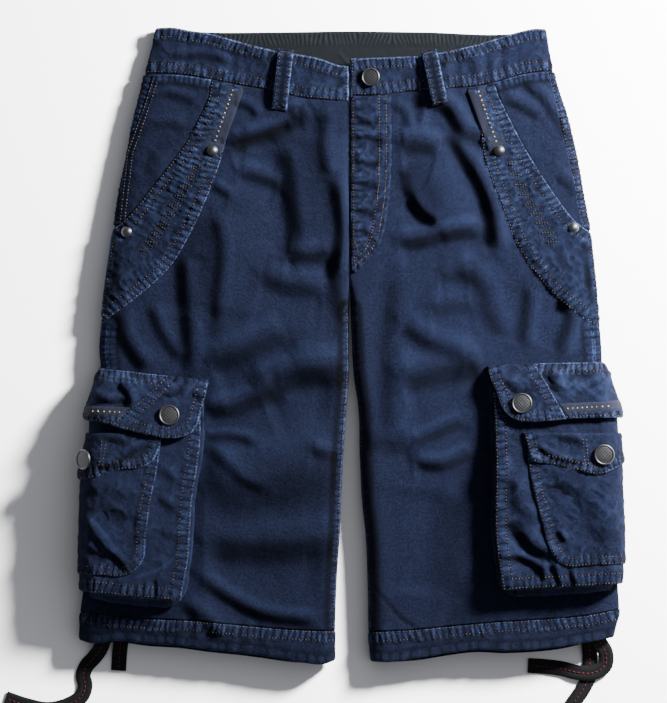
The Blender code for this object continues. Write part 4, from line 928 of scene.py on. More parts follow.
@dataclass(frozen=True)
class Twill(Finish):
    """Garment-dyed cotton twill: painted shade in its creases, folds, pucker hollows and stitch holes;
    washed pale on its edges and ridges by wear, with a painted highlight on lit fold crests.
    """

    base: Colour = (0.0053, 0.0071, 0.0178, 1)
    # the dark colour that the painted shade mixes towards
    deep: Colour = (0.0012, 0.0015, 0.0024, 1)
    # the pale colour of wear on edges and crests, and of the painted highlight on lit fold crests
    worn: Colour = (0.033, 0.053, 0.128, 1)
    wear: float = 1.0
    weave: float = 0.00055

    def material(self) -> bpy.types.Material:
        """Base colour with mottling; painted shade along stitches, between puckers and in folds; paler on
        edges and pucker tops by wear, broken up by noise, with a painted highlight on lit fold crests; twill
        ribs as bump."""
        graph = Graph(self.name, Roughness=0.86, Specular_IOR_Level=0.03)
        place = graph.place()
        edge, along, wear = graph.attribute("seam")
        row, second, pucker = graph.attribute("rows")
        fold, small, _ = graph.attribute("fold")
        mottle = graph.noise(place, 24.0, 3.0)
        patches = graph.noise(place, 110.0, 3.0)
        fleck = graph.noise(place, 430.0, 3.0, 0.75)
        colour = graph.mix((mottle * 0.35 + patches * 0.35 + fleck * 3.0 - 1.35).clipped(),
                           tuple(c * 0.6 for c in self.base[:3]) + (1,),
                           tuple(c * 1.4 for c in self.base[:3]) + (1,))
        break_up = graph.noise(graph.combined(along * 0.001, edge * 0.002), 210.0, 2.0)
        rim = edge.falling(0.5, 2.4) * break_up.rising(0.32, 0.62)
        crest = pucker.rising(0.30, 0.85) * break_up.rising(0.25, 0.70) * 0.32
        # paler on crumple crests by wear; paler where fold is negative: painted highlight on a Fold's lit
        # crest, wear on a Crease ridge
        ridge = small.rising(0.35, 1.6) * 0.14 + (0.0 - fold).rising(0.0, 0.6) * 0.08
        pale = ((rim + crest) * wear * self.wear + ridge).clipped()
        colour = graph.mix(pale, colour, self.worn)
        # darker along the stitch rows: painted shade of the stitch holes
        hole = ((edge - row).math("ABSOLUTE").falling(0.35, 1.0)
                + (edge - second).math("ABSOLUTE").falling(0.35, 1.0)).clipped() * 0.75
        # darker between the puckers: painted shade in their hollows
        groove = (0.28 - pucker).rising(0.0, 0.30) * wear.rising(0.02, 0.2) * edge.falling(9.0, 15.0) * 0.7
        # painted shade in crumple troughs and along folds and creases, more where they stack
        crease = ((0.0 - small).rising(0.3, 1.5) * 0.4 + fold.rising(0.0, 1.0) * 0.55
                  + fold.rising(1.0, 1.8) * 0.3)
        # dark sums the painted shade, which mixes the colour towards the dark shade colour
        dark = (hole + groove + crease).clipped()
        graph.colour(graph.mix(dark, colour, self.deep))
        graph.put(graph.shader.inputs["Roughness"], 0.80 + fleck * 0.14)
        u, v, _ = graph.cloth()
        rib = ((u + v) * (2 * math.pi / self.weave)).math("SINE")
        warp = ((u - v * 0.3) * (2 * math.pi / (self.weave * 0.8))).math("SINE")
        graph.relief(rib * 0.5 + warp * 0.2 + fleck * 5.0 + patches * 4.0, 0.00018)
        return graph.material


@dataclass(frozen=True)
class Facing(Finish):
    """The dark inside of the back waistband."""

    base: Colour = (0.0019, 0.0029, 0.0042, 1)
    light: Colour = (0.0075, 0.0100, 0.0140, 1)

    def material(self) -> bpy.types.Material:
        """Dark cloth, paler on its small pleats."""
        graph = Graph(self.name, Roughness=0.9, Specular_IOR_Level=0.12)
        place = graph.place()
        _, _, pucker = graph.attribute("rows")
        noise = graph.noise(place, 160.0, 3.0)
        colour = graph.mix(pucker.rising(0.3, 0.95) * noise.rising(0.3, 0.6) * 0.8, self.base, self.light)
        graph.colour(graph.mix(noise * 0.25, colour, self.light))
        u, v, _ = graph.cloth()
        rib = ((u - v) * (2 * math.pi / 0.0007)).math("SINE")
        graph.relief(rib * 0.5 + noise * 3.0, 0.00010)
        return graph.material


@dataclass(frozen=True)
class WovenTape(Finish):
    """A woven tape in herringbone: ribs that turn at each stripe across its width."""

    base: Colour = (0.0018, 0.0024, 0.0066, 1)
    light: Colour = (0.0070, 0.0090, 0.0215, 1)
    stripe: float = 0.0034
    rib: float = 0.0011

    def material(self) -> bpy.types.Material:
        """Ribs along the tape plus a triangle wave across it; v of the map runs along the tape."""
        graph = Graph(self.name, Roughness=0.85, Specular_IOR_Level=0.15)
        across, along, _ = graph.cloth()
        turned = across.math("PINGPONG", self.stripe)
        ribs = ((along + turned) * (2 * math.pi / self.rib)).math("SINE") * 0.5 + 0.5
        place = graph.place()
        noise = graph.noise(place, 420.0, 2.0)
        graph.colour(graph.mix((ribs * 0.55 + noise * 0.35).clipped(), self.base, self.light))
        graph.relief(ribs + noise * 0.6, 0.00022)
        return graph.material


@dataclass(frozen=True)
class Thread(Finish):
    """Sewing thread: two strands turn round each other."""

    base: Colour
    light: Colour

    def material(self) -> bpy.types.Material:
        """A colour that varies from stitch to stitch."""
        graph = Graph(self.name, Roughness=0.7, Specular_IOR_Level=0.2)
        place = graph.place()
        noise = graph.noise(place, 330.0, 2.0)
        strand = graph.noise(place, 2600.0, 1.0)
        share = (noise.rising(0.40, 0.58) * 0.9 + strand * 0.1).clipped()
        graph.colour(graph.mix(share, self.base, self.light))
        graph.relief(strand, 0.0001)
        return graph.material


@dataclass(frozen=True)
class Pewter(Finish):
    """Antiqued metal: bright where rubbed, dark in the hollows, and dark under the cap's rim as painted
    shade.
    """

    bright: Colour = (0.072, 0.075, 0.080, 1)
    dark: Colour = (0.007, 0.007, 0.008, 1)

    def material(self) -> bpy.types.Material:
        """Hollows are dark and rough, and the side and base under the rim dark as painted shade; the height
        attribute says where they are.
        """
        graph = Graph(self.name, Metallic=1.0, Roughness=0.35)
        place = graph.place()
        height, _, _ = graph.attribute("fold")
        noise = graph.noise(place, 900.0, 3.0)
        rubbed = (height * 0.9 + noise * 0.5 - 0.25).clipped()
        graph.colour(graph.mix(rubbed, self.dark, self.bright))
        graph.put(graph.shader.inputs["Roughness"], 0.62 - rubbed * 0.30)
        graph.relief(noise, 0.00006)
        return graph.material


@dataclass
class Wardrobe:
    """The finishes, each made once."""

    made: dict[str, bpy.types.Material] = field(default_factory=dict)

    def get(self, finish: Finish) -> bpy.types.Material:
        """The material of a finish."""
        if finish.name not in self.made:
            self.made[finish.name] = finish.material()
        return self.made[finish.name]


NAVY = Twill("navy_twill", wear=0.85)
NAVY_WORN = Twill("navy_twill_worn", base=(0.0053, 0.0072, 0.0178, 1), wear=1.35)
FACING = Facing("dark_facing")
TAPE = WovenTape("herringbone_tape")
SEWING = Thread("sewing_thread", (0.0022, 0.0018, 0.0024, 1), (0.055, 0.041, 0.042, 1))
EMBROIDERY = Thread("embroidery_thread", (0.0010, 0.0010, 0.0016, 1), (0.0120, 0.0110, 0.0140, 1))
DECORATION = Thread("decoration_thread", (0.13, 0.13, 0.075, 1), (0.30, 0.30, 0.19, 1))
RED_THREAD = Thread("red_thread", (0.035, 0.002, 0.003, 1), (0.085, 0.005, 0.008, 1))
DRAWTAPE = WovenTape("drawtape_weave", base=(0.0008, 0.0009, 0.0014, 1), light=(0.0030, 0.0032, 0.0046, 1))
PEWTER = Pewter("antique_pewter")
WARDROBE = Wardrobe()


# ------------------------------------------------------------------ meshes
def add_piece(name: str, points: Array, faces: list[list[int]], finish: Finish, layers: dict[str, Array],
              uv: Array | None = None) -> bpy.types.Object:
    """Makes an object at the origin from points in frame millimetres.

    Args:
        name: the piece's name.
        points: (N, 3).
        faces: corner numbers.
        finish: its finish.
        layers: vector attributes by name, (N, 3) each.
        uv: (N, 2) map in metres, or None.

    Returns:
        The object, riding on the part's one body.
    """
    mesh = bpy.data.meshes.new(name)
    mesh.from_pydata((points * MM).tolist(), [], faces)
    for layer_name, values in layers.items():
        layer = mesh.attributes.new(layer_name, "FLOAT_VECTOR", "POINT")
        layer.data.foreach_set("vector", np.ascontiguousarray(values, dtype=np.float32).ravel())
    if uv is not None:
        corner = np.empty(len(mesh.loops), dtype=np.int32)
        mesh.loops.foreach_get("vertex_index", corner)
        mesh.uv_layers.new(name="cloth").data.foreach_set("uv", uv[corner].astype(np.float32).ravel())
    mesh.materials.append(WARDROBE.get(finish))
    mesh.shade_smooth()
    piece = bpy.data.objects.new(name, mesh)
    bpy.context.scene.collection.objects.link(piece)
    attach(piece, "root")
    return piece


def grid_faces(rows: int, columns: int, closed: bool = False) -> Array:
    """Quads of a grid of points, rows by columns; closed joins the last column to the first."""
    index = np.arange(rows * columns).reshape(rows, columns)
    if closed:
        index = np.column_stack([index, index[:, 0]])
    return np.stack([index[:-1, :-1], index[:-1, 1:], index[1:, 1:], index[1:, :-1]], axis=-1).reshape(-1, 4)


def arc_map(points: Array) -> Array:
    """A map in metres for a grid: lengths summed along its middle row and middle column.

    Args:
        points: (rows, columns, 3).

    Returns:
        (rows * columns, 2).
    """
    rows, columns = points.shape[:2]
    across = np.linalg.norm(np.diff(points, axis=1), axis=2)
    along = np.linalg.norm(np.diff(points, axis=0), axis=2)
    u = np.concatenate([np.zeros((rows, 1)), np.cumsum(across, axis=1)], axis=1)
    v = np.concatenate([np.zeros((1, columns)), np.cumsum(along, axis=0)], axis=0)
    u -= u[:, columns // 2][:, None]
    return np.stack([u, v], axis=-1).reshape(-1, 2) * MM


def coons(top: Line, bottom: Line, near: Line, far: Line, columns: int, rows: int) -> tuple[Array, Array]:
    """Places (x, down) of a grid between four lines: the sum of the two ruled grids, less the
    bilinear one. top and bottom run from near to far, near and far from top to bottom.

    Args:
        top, bottom: the lines that the columns share out.
        near, far: the lines that the rows share out.
        columns, rows: points across and along.

    Returns:
        x and down, as grids.
    """
    u = np.linspace(0, 1, columns)[None, :, None]
    v = np.linspace(0, 1, rows)[:, None, None]

    def spread(line: Line, count: int) -> Array:
        """Evenly spread places on a line."""
        return np.column_stack(line.at(np.linspace(0, line.length, count)))
    t, b = spread(top, columns)[None], spread(bottom, columns)[None]
    n, f = spread(near, rows)[:, None], spread(far, rows)[:, None]
    corners = ((1 - u) * (1 - v) * t[:, :1] + u * (1 - v) * t[:, -1:]
               + (1 - u) * v * b[:, :1] + u * v * b[:, -1:])
    grid = (1 - v) * t + v * b + (1 - u) * n + u * f - corners
    return grid[..., 0], grid[..., 1]


@dataclass
class Seam:
    """A sewn or folded edge of a piece: its line, rows of stitches and puckers beside it."""

    line: Line
    rows: tuple[float, ...] = (1.8, 9.6)
    pucker: float = 0.9        # height of the puckers
    pitch: float = 6.0         # their spacing
    slant: float = 0.0         # their lean, along per across
    wear: float = 1.0
    spread: float = 4.5        # how far they fade past the last row
    sunk: float = 0.0          # how far the edge lies below the rest of its piece

    def ladder(self, distance: Array, along: Array) -> Array:
        """From 0 to 1: broad ridges across the seam with narrow gaps, whose phase wanders and whose
        strength varies. They fade past the last row.

        Args:
            distance: from the seam's edge.
            along: the length along it.

        Returns:
            The height of the puckers, as a share of the seam's.
        """
        place = along + self.slant * distance
        phase = place / self.pitch + 0.55 * LADDER(place / 19.0, distance / 30 + 5)
        ridge = 1 - (0.5 - 0.5 * np.cos(2 * math.pi * phase))**2.2
        strength = 0.62 + 0.38 * MEDIUM(place / 8.0 + 17, distance / 6.0)
        reach = max(self.rows) if self.rows else 5.0
        window = smoothstep(distance / 1.6) * (1 - smoothstep((distance - reach - 0.5) / self.spread))
        return ridge * strength * window

    def channel(self, distance: Array) -> Array:
        """From 0 to 1: the hollows that the rows of stitches pull."""
        return sum((bump((distance - row) / 0.8) for row in self.rows), np.zeros(np.shape(distance)))


@dataclass
class Measures:
    """What a piece knows of each place: its nearest edge, stitch rows, puckers and height."""

    edge: Array
    along: Array
    wear: Array
    row: Array
    second: Array
    pucker: Array
    height: Array
    rim: Array
    sunk: Array


@dataclass
class ClothPiece:
    """A cloth piece on a form: lifted, puckered along its seams, rolled at its edges."""

    name: str
    form: Form
    finish: Finish
    lift: float
    wall: float
    middle: tuple[float, float]
    seams: list[Seam] = field(default_factory=list)
    edges: list[Line] = field(default_factory=list)
    folds: list[Fold] = field(default_factory=list)
    skirt: bool = True         # drops its border to the form instead of having a wall
    rolled: bool = True        # its edges round over
    crumple: float = 0.0       # height of its small creases
    crumple_size: float = 15.0
    under: Sequence[Fold] = ()     # the folds of the form itself
    more_nodes: tuple[str, ...] = ()   # the CAD nodes that it stands for besides its own

    def measures(self, x: Array, down: Array) -> Measures:
        """Works out the measures from every seam; the nearest one names the rows.

        Args:
            x, down: the places.

        Returns:
            The measures, as grids.
        """
        nought = np.zeros(np.shape(x))
        found = Measures(edge=nought + FAR, along=nought, wear=nought, row=nought + NO_ROW,
                         second=nought + NO_ROW, pucker=nought, height=nought, rim=nought, sunk=nought)
        for seam in self.seams:
            distance, along, _ = seam.line.nearest(x, down)
            ladder = seam.ladder(distance, along)
            found.pucker = np.maximum(found.pucker, ladder)
            found.height = (np.maximum(found.height, 1.35 * ladder * seam.pucker)
                            - 0.35 * seam.channel(distance))
            found.sunk = found.sunk + seam.sunk * (1 - smoothstep(distance / 11.0))
            rows = (*seam.rows, NO_ROW, NO_ROW)
            near = distance < found.edge
            for name, value in (("along", along), ("wear", seam.wear), ("row", rows[0]),
                                ("second", rows[1]), ("edge", distance)):
                setattr(found, name, np.where(near, value, getattr(found, name)))
        found.rim = found.edge
        for line in self.edges:
            found.rim = np.minimum(found.rim, line.nearest(x, down)[0])
        return found

    def relief(self, x: Array, down: Array, found: Measures) -> Array:
        """Lift above the form: puckers, folds of its own, and a rounded border.

        Args:
            x, down: the places.
            found: the places' measures.

        Returns:
            The lift, in millimetres.
        """
        relief = self.lift + found.height - found.sunk
        if self.crumple:
            creased = self.crumple * crumpled(x, down, self.crumple_size)
            relief = relief + creased * smoothstep(found.rim / 3.0)
        if self.rolled:
            relief = relief - 0.55 * min(self.wall, 2.0) * (1 - smoothstep(found.rim / 2.2))
            relief = relief + 0.10 * FINE(x / 4.3 + 3, down / 4.9)
        return relief + sum(fold.relief(x, down) for fold in self.folds)

    def surface(self, x: Array, down: Array, above: float = 0.0) -> Array:
        """Points of the outer surface, raised by above."""
        return self.form.lifted(x, down, self.relief(x, down, self.measures(x, down)) + above)

    def layers(self, x: Array, down: Array, found: Measures) -> dict[str, Array]:
        """The attributes that the shaders read, as grids of vectors."""
        folds = (*self.folds, *self.under)
        # fold sums the folds' painted shade and highlight; small holds the crumples, whose troughs the twill
        # darkens as painted shade and whose crests it pales as wear
        fold = sum((f.tint(x, down) for f in folds), np.zeros(np.shape(x)))
        small = 1.6 * self.crumple * crumpled(x, down, self.crumple_size)
        return {"seam": np.stack([found.edge, found.along, found.wear], axis=-1),
                "rows": np.stack([found.row, found.second, found.pucker], axis=-1),
                "fold": np.stack([fold, small, 0 * fold], axis=-1)}

    def build(self, x: Array, down: Array) -> bpy.types.Object:
        """Makes the piece on a grid of places, in the place of its nodes.

        Args:
            x, down: the places.

        Returns:
            The object.
        """
        found = self.measures(x, down)
        lift = self.relief(x, down, found)
        sheet = Sheet(self.form.lifted(x, down, lift), self.form.lifted(x, down, lift - 1.0),
                      self.layers(x, down, found))
        if self.skirt:
            sheet = sheet.with_skirt(self.form.lifted(x, down, np.full(np.shape(x), 0.12)))
        return sheet.make(self.name, self.finish, None if self.skirt else self.wall, self.more_nodes)


@dataclass
class Sheet:
    """A grid of points with the points one millimetre inside it and its attributes."""

    points: Array
    inside: Array
    layers: dict[str, Array]
    closed: bool = False

    def with_skirt(self, under: Array) -> "Sheet":
        """The sheet with one more ring, which drops its border to the surface under it."""
        layers = {name: bordered(values, values) for name, values in self.layers.items()}
        return Sheet(bordered(self.points, under), bordered(self.inside, self.inside), layers)

    def make(self, name: str, finish: Finish, wall: float | None,
             more_nodes: tuple[str, ...] = ()) -> bpy.types.Object:
        """Makes the object with its faces outward.

        Args:
            name: the piece's name, which is also its CAD node's.
            finish: its finish.
            wall: thickness that is added inside, or None for a sheet with no wall.
            more_nodes: further CAD nodes whose place it takes.

        Returns:
            The object.
        """
        rows, columns = self.points.shape[:2]
        faces = grid_faces(rows, columns, self.closed)
        row, column = rows // 2, columns // 3
        here = self.points[row, column]
        facing = np.cross(self.points[row, column + 1] - here, self.points[row + 1, column] - here)
        if np.dot(facing, here - self.inside[row, column]) < 0:
            faces = faces[:, ::-1]
        flat = {layer: values.reshape(-1, 3) for layer, values in self.layers.items()}
        piece = add_piece(name + "_cloth", self.points.reshape(-1, 3), faces.tolist(), finish, flat,
                          arc_map(self.points))
        if wall is not None:
            add_wall(piece, wall)
        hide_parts(name, *more_nodes)
        declare_sheet(self.points)
        LOG.info("%s: %d x %d points", name, rows, columns)
        return piece


def plain_layers(shape: tuple[int, ...], pucker: Array | float = 0.0) -> dict[str, Array]:
    """The attributes of cloth far from any seam, with its pleats' height as pucker."""
    nought = np.zeros(shape)
    return {"seam": np.stack([nought + FAR, nought, nought], axis=-1),
            "rows": np.stack([nought + NO_ROW, nought + NO_ROW, nought + pucker], axis=-1),
            "fold": np.zeros((*shape, 3))}


def bordered(values: Array, outer: Array) -> Array:
    """A grid with one more ring round it, which repeats the border of the outer grid."""
    ring = np.pad(outer, ((1, 1), (1, 1), (0, 0)), mode="edge")
    ring[1:-1, 1:-1] = values
    return ring


def add_wall(piece: bpy.types.Object, wall: float) -> None:
    """Gives a sheet its wall on the inner side."""
    modifier = piece.modifiers.new("wall", "SOLIDIFY")
    modifier.thickness = wall * MM
    modifier.offset = -1.0
    modifier.use_even_offset = False


def grid_area(points: Array) -> float:
    """Area of a grid in square metres: each cell is half the size of its diagonals' cross product."""
    one = points[1:, 1:] - points[:-1, :-1]
    two = points[1:, :-1] - points[:-1, 1:]
    return float(np.linalg.norm(np.cross(one, two), axis=-1).sum() / 2) * MM * MM


def declare_sheet(points: Array) -> None:
    """Works out a cut rectangle round the piece and its flat area from the lengths of the grid, and keeps
    neither.

    Args:
        points: its grid.
    """
    across = np.linalg.norm(np.diff(points, axis=1), axis=2).sum(axis=1).max() * MM
    along = np.linalg.norm(np.diff(points, axis=0), axis=2).sum(axis=0).max() * MM
    area = min(grid_area(points) * 0.97, across * along * 0.99)


class Stitcher:
    """Collects stitches and makes them one mesh: each is a pill of two rings and two tips."""

    RING = 5

    def __init__(self, name: str, finish: Finish) -> None:
        """Starts with no stitches."""
        self.name, self.finish = name, finish
        self.starts: list[Array] = []
        self.ends: list[Array] = []
        self.radii: list[Array] = []

    def add(self, start: Array, end: Array, radius: float = STITCH_RADIUS) -> None:
        """Adds stitches between frame points (N, 3)."""
        self.starts.append(start)
        self.ends.append(end)
        self.radii.append(np.full(len(start), radius))

    def sew(self, piece: ClothPiece) -> None:
        """Adds every row of a piece's seams, leaving out stitches that another edge would cross.

        Args:
            piece: what is sewn; its middle says which side of each seam is cloth.
        """
        for seam in piece.seams:
            side = math.copysign(1.0, float(seam.line.nearest(*(np.array([v]) for v in piece.middle))[2][0]))
            for row in seam.rows:
                along = np.arange(STITCH_PITCH, seam.line.length - 1.0, STITCH_PITCH)
                rim = piece.measures(*seam.line.beside(along, side * row)).rim
                along = along[rim > row - 0.6]
                if len(along):
                    half = STITCH_LENGTH / 2
                    self.add(piece.surface(*seam.line.beside(along - half, side * row), 0.12),
                             piece.surface(*seam.line.beside(along + half, side * row), 0.12))

    def draw(self, piece: ClothPiece, points: Points,
             stitch: tuple[float, float, float] = (STITCH_PITCH, STITCH_LENGTH, STITCH_RADIUS),
             straight: bool = True) -> None:
        """Adds stitches of a pitch, length and radius along a line drawn on a piece.

        Args:
            piece: the cloth.
            points: the line, as places (x, down).
            stitch: pitch, length and radius.
            straight: False for a curve through the points.
        """
        pitch, length, radius = stitch
        line = Line(points, step=1.0, straight=straight)
        along = np.arange(length / 2, line.length, pitch)
        begin, end = line.at(along - length / 2), line.at(along + length / 2)
        self.add(piece.surface(*begin, 0.15), piece.surface(*end, 0.15), radius)

    def make(self) -> bpy.types.Object:
        """Builds the joined mesh: a frame on each stitch carries a ring of points at both ends."""
        start, end = np.concatenate(self.starts), np.concatenate(self.ends)
        radius = np.concatenate(self.radii)[:, None]
        run = end - start
        size = np.linalg.norm(run, axis=1, keepdims=True)
        run = run / np.maximum(size, 1e-6)
        up = np.tile([0.0, 0.0, 1.0], (len(run), 1))
        sideways = np.cross(run, up)
        sideways /= np.maximum(np.linalg.norm(sideways, axis=1, keepdims=True), 1e-6)
        up = np.cross(sideways, run)
        angles = np.arange(self.RING) * 2 * math.pi / self.RING + math.pi / 2
        ring = (sideways[:, None] * np.cos(angles)[None, :, None]
                + up[:, None] * np.sin(angles)[None, :, None]) * radius[:, None]
        inset = run * np.minimum(radius * 0.9, size * 0.3)
        points = np.concatenate([start[:, None], (start + inset)[:, None] + ring,
                                 (end - inset)[:, None] + ring, end[:, None]], axis=1)
        count = 2 * self.RING + 2
        here = np.arange(self.RING)
        following = (here + 1) % self.RING
        tip = np.column_stack([np.zeros(self.RING, int), 1 + following, 1 + here])
        here, following = 1 + here, 1 + following
        beyond, beyond_next = here + self.RING, following + self.RING
        tail = np.column_stack([np.full(self.RING, count - 1), beyond, beyond_next])
        sides = np.column_stack([here, following, beyond_next, here, beyond_next, beyond]).reshape(-1, 3)
        template = np.concatenate([tip, sides, tail])
        faces = (template[None] + (np.arange(len(points)) * count)[:, None, None]).reshape(-1, 3)
        piece = add_piece(self.name, points.reshape(-1, 3), faces.tolist(), self.finish, {})
        LOG.info("%s: %d stitches", self.name, len(points))
        return piece


# ------------------------------------------------------------------ the garment's parts
def crowded(share: Array, outer_share: float, inner_share: float, outer_width: Array, inner_width: Array,
            width: Array) -> Array:
    """Distance from the outer edge: columns crowd as a cosine in the two rounded edges.

    Args:
        share: columns, from 0 at the outer to 1 at the inner edge.
        outer_share, inner_share: how much of them each rounded edge gets.
        outer_width, inner_width: the widths of those edges.
        width: the whole width.

    Returns:
        The distances.
    """
    outer_angle = np.clip(share / outer_share, 0, 1) * math.pi / 2
    inner_angle = np.clip((1 - share) / inner_share, 0, 1) * math.pi / 2
    middle = np.clip((share - outer_share) / (1 - outer_share - inner_share), 0, 1)
    return (outer_width * (1 - np.cos(outer_angle)) + middle * (width - outer_width - inner_width)
            + inner_width * np.cos(inner_angle))


LineAt = Callable[[Array], Array]


def leg_grid(leg: LegForm, columns: int, rows: int, top_line: LineAt, bottom_line: LineAt,
             back: bool = False) -> tuple[Array, Array]:
    """Places of a grid from a leg's outer to its inner edge, between two lines across it.

    Args:
        leg: the leg.
        columns: points across.
        rows: points along.
        top_line: down of the upper line at x.
        bottom_line: down of the lower line at x.
        back: True for the narrower rounding of the back.

    Returns:
        x and down, as grids.
    """
    share = np.linspace(0, 1, columns)[None, :]
    along = np.linspace(0, 1, rows)[:, None]
    x = np.full((rows, columns), leg.outer(0.0))
    for _ in range(SETTLE):
        down = top_line(x) + (bottom_line(x) - top_line(x)) * along
        outer, inner = leg.outer(down), leg.inner(down)
        if back:
            widths = BACK_ROUND * leg.seam(down), np.full(np.shape(down), BACK_ROUND * INSEAM_HEIGHT)
        else:
            widths = leg.outer_round(down), leg.inner_round(down)
        x = outer - leg.side.value * crowded(share, 0.14, 0.11, *widths, np.abs(inner - outer))
    return x, down


class BackForm(Form):
    """A back panel's under surface, on the ground."""

    outward = -1.0

    def __init__(self, leg: LegForm) -> None:
        """Keeps the leg whose back this is."""
        self.leg = leg

    def place(self, x: Array, down: Array) -> Array:
        """The under surface's points."""
        return stacked(x, down, self.leg.back_height(x, down))


class LoopForm(Form):
    """A belt loop: along its axis it bows off the waistband, across it is straight."""

    def __init__(self, leg: LegForm, start: tuple[float, float], end: tuple[float, float]) -> None:
        """Keeps the axis."""
        self.leg, self.start = leg, np.array(start)
        run = np.array(end) - self.start
        self.length = float(np.hypot(*run))
        self.run = run / self.length

    def corner(self, along: float, across: float) -> tuple[float, float]:
        """x and down at a share of the axis and a distance to its side."""
        x, down = self.start + self.run * along * self.length
        return x + across * self.run[1], down - across * self.run[0]

    def place(self, x: Array, down: Array) -> Array:
        """The strap's under side: sewn ends, and between them the belt's room with a flat top.

        Args:
            x, down: the places.

        Returns:
            The points, (..., 3).
        """
        along = ((x - self.start[0]) * self.run[0] + (down - self.start[1]) * self.run[1]) / self.length
        axis_x = self.start[0] + self.run[0] * along * self.length
        axis_down = self.start[1] + self.run[1] * along * self.length
        bow = LOOP_CLEARANCE * np.sin(math.pi * np.clip(along * 1.16 - 0.08, 0, 1))**0.35
        base = self.leg.height(axis_x, axis_down) + BAND_PROUD * (2 - smoothstep((along - 0.85) / 0.15))
        return stacked(x, down, base + bow)


# x, down: the sewn lines of each half
OPENING = {
    LEFT: [(-140, 52), (-144, 73), (-151, 88), (-166, 116), (-186, 143), (-206, 169), (-224, 191),
           (-238, 203)],
    RIGHT: [(143, 55), (150, 73), (157, 88), (172, 117), (192, 150), (211, 178), (222, 192), (238, 205)]}
BAND_SEAM = {
    LEFT: [(-107, 59), (-118, 88), (-130, 133), (-146, 176), (-161, 208), (-181, 240), (-211, 268),
           (-241, 291), (-249, 298)],
    RIGHT: [(115, 61), (124, 83), (134, 138), (145, 168), (158, 201), (179, 240), (204, 269), (234, 293),
            (248, 302)]}
SIDE_STRIP = {
    LEFT: [(-198, 48), (-205, 70), (-216, 103), (-223, 123), (-227, 153), (-230, 178), (-232, 198)],
    RIGHT: [(197, 45), (205, 78), (214, 118), (223, 158), (228, 188), (232, 203)]}
HIP_TAPE = {LEFT: ((-117, 60), (-140, 125)), RIGHT: ((126, 61), (148, 124))}
TAPE_RIVET = {LEFT: (-139, 124), RIGHT: (148, 124)}
POCKET_RIVET = {LEFT: (-224, 205), RIGHT: (222, 201)}
ZIGZAG = {
    LEFT: [(-151, 133), (-163, 156), (-176, 178), (-190, 200), (-204, 220), (-213, 230)],
    RIGHT: [(158, 130), (166, 152), (176, 172), (189, 194), (200, 212), (208, 226)]}
FLY_EDGE = [(-0.6, 69), (-0.6, 110), (-0.9, 153), (-0.7, 200), (1, 243)]
FLY_STITCH = [(36, 68), (36, 140), (33, 180), (21, 224), (6, 241)]
LOOP_LINE = {LEFT: ((-65, 22), (-72, 83)), RIGHT: ((78, 23), (89, 77))}
FLAP_EDGE = {LEFT: [(-142, 353), (-146, 373), (-150, 388), (-153, 398)],
             RIGHT: [(136, 339), (139, 353), (146, 368), (149, 378)]}
FLAP_FOOT = {
    LEFT: [(-153, 398), (-159, 406), (-169, 410), (-186, 411), (-206, 407), (-223, 403), (-238, 398),
           (-250, 395), (-280, 392)],
    RIGHT: [(149, 378), (156, 388), (164, 393), (182, 395), (197, 394), (214, 392), (240, 391), (285, 391)]}
FLAP_DIAGONAL = {LEFT: [(-183, 350), (-210, 374), (-239, 398)], RIGHT: [(182, 336), (199, 364), (214, 392)]}
# the flap tape's starts on its upper and lower edge, and the two edges' downs there and at the side
FLAP_TAPE = {LEFT: ((-219, -231), (381, 379), (391.5, 389.5)),
             RIGHT: ((206.5, 212.5), (377, 373), (387.5, 383.5))}
PATCH_EDGE = {
    LEFT: [(-188, 407), (-189, 416), (-193, 443), (-199, 473), (-203, 503), (-205, 528)],
    RIGHT: [(175, 405), (177, 445), (182, 468), (189, 493), (194, 513), (201, 528)]}
PATCH_FOOT = {LEFT: [(-205, 528), (-208, 534), (-216, 543), (-226, 548), (-250, 547), (-290, 546)],
              RIGHT: [(201, 528), (207, 535), (214, 538), (240, 537), (290, 537)]}
PATCH_FLAP_EDGE = {LEFT: [(-188, 407), (-189, 416), (-196, 433)],
                   RIGHT: [(171, 405), (175, 418), (179, 434)]}
PATCH_FLAP_FOOT = {
    LEFT: [(-196, 433), (-204, 438), (-231, 443), (-262, 452), (-290, 452)],
    RIGHT: [(179, 434), (199, 437), (224, 443), (249, 447), (261, 441), (290, 434)]}
FLAP_BUTTON = {LEFT: (-181, 389), RIGHT: (170, 377)}
PATCH_BUTTON = {LEFT: (-264, 432), RIGHT: (251, 427)}
WAIST_BUTTON = (20, 50)
BUTTONHOLE_ROW = {LEFT: ((-247, 414), (-250, 440)), RIGHT: ((230, 412), (232, 438))}

# x, down, z of the drawtapes' centre lines
TAPE_ROUTES = {
    "drawtape_left_long": [
        (-246, 604, 6.4), (-248, 614, 6.0), (-251, 622, 5.0), (-258, 632, 1.9), (-266, 641, 0.9),
        (-269, 650, 0.9), (-267, 660, 0.9), (-270, 670, 0.9), (-283, 679, 0.9), (-305, 684, 0.9),
        (-326, 680, 0.9), (-347, 673, 0.9)],
    "drawtape_left_short": [
        (-229.5, 604, 3.2), (-230.5, 613, 3.2), (-231.5, 620, 3.0), (-232.5, 629, 1.6), (-233, 637, 0.9),
        (-233.5, 645, 0.9)],
    "drawtape_right_long": [
        (235, 602, 5.4), (237, 611, 5.2), (239, 619, 4.2), (240, 629, 1.7), (240, 638, 0.9), (239, 651, 0.9),
        (233, 664, 0.9), (224, 677, 0.9), (216, 690, 0.9), (210, 705, 0.9)],
    "drawtape_right_short": [
        (242, 600, 10.4), (244.5, 608, 10.0), (249.5, 616, 8.8), (256, 628, 4.8), (255, 640, 3.0),
        (244, 647, 3.0), (229, 647, 2.8), (211, 643, 1.2), (194, 641, 0.9), (178, 640, 0.9)]}


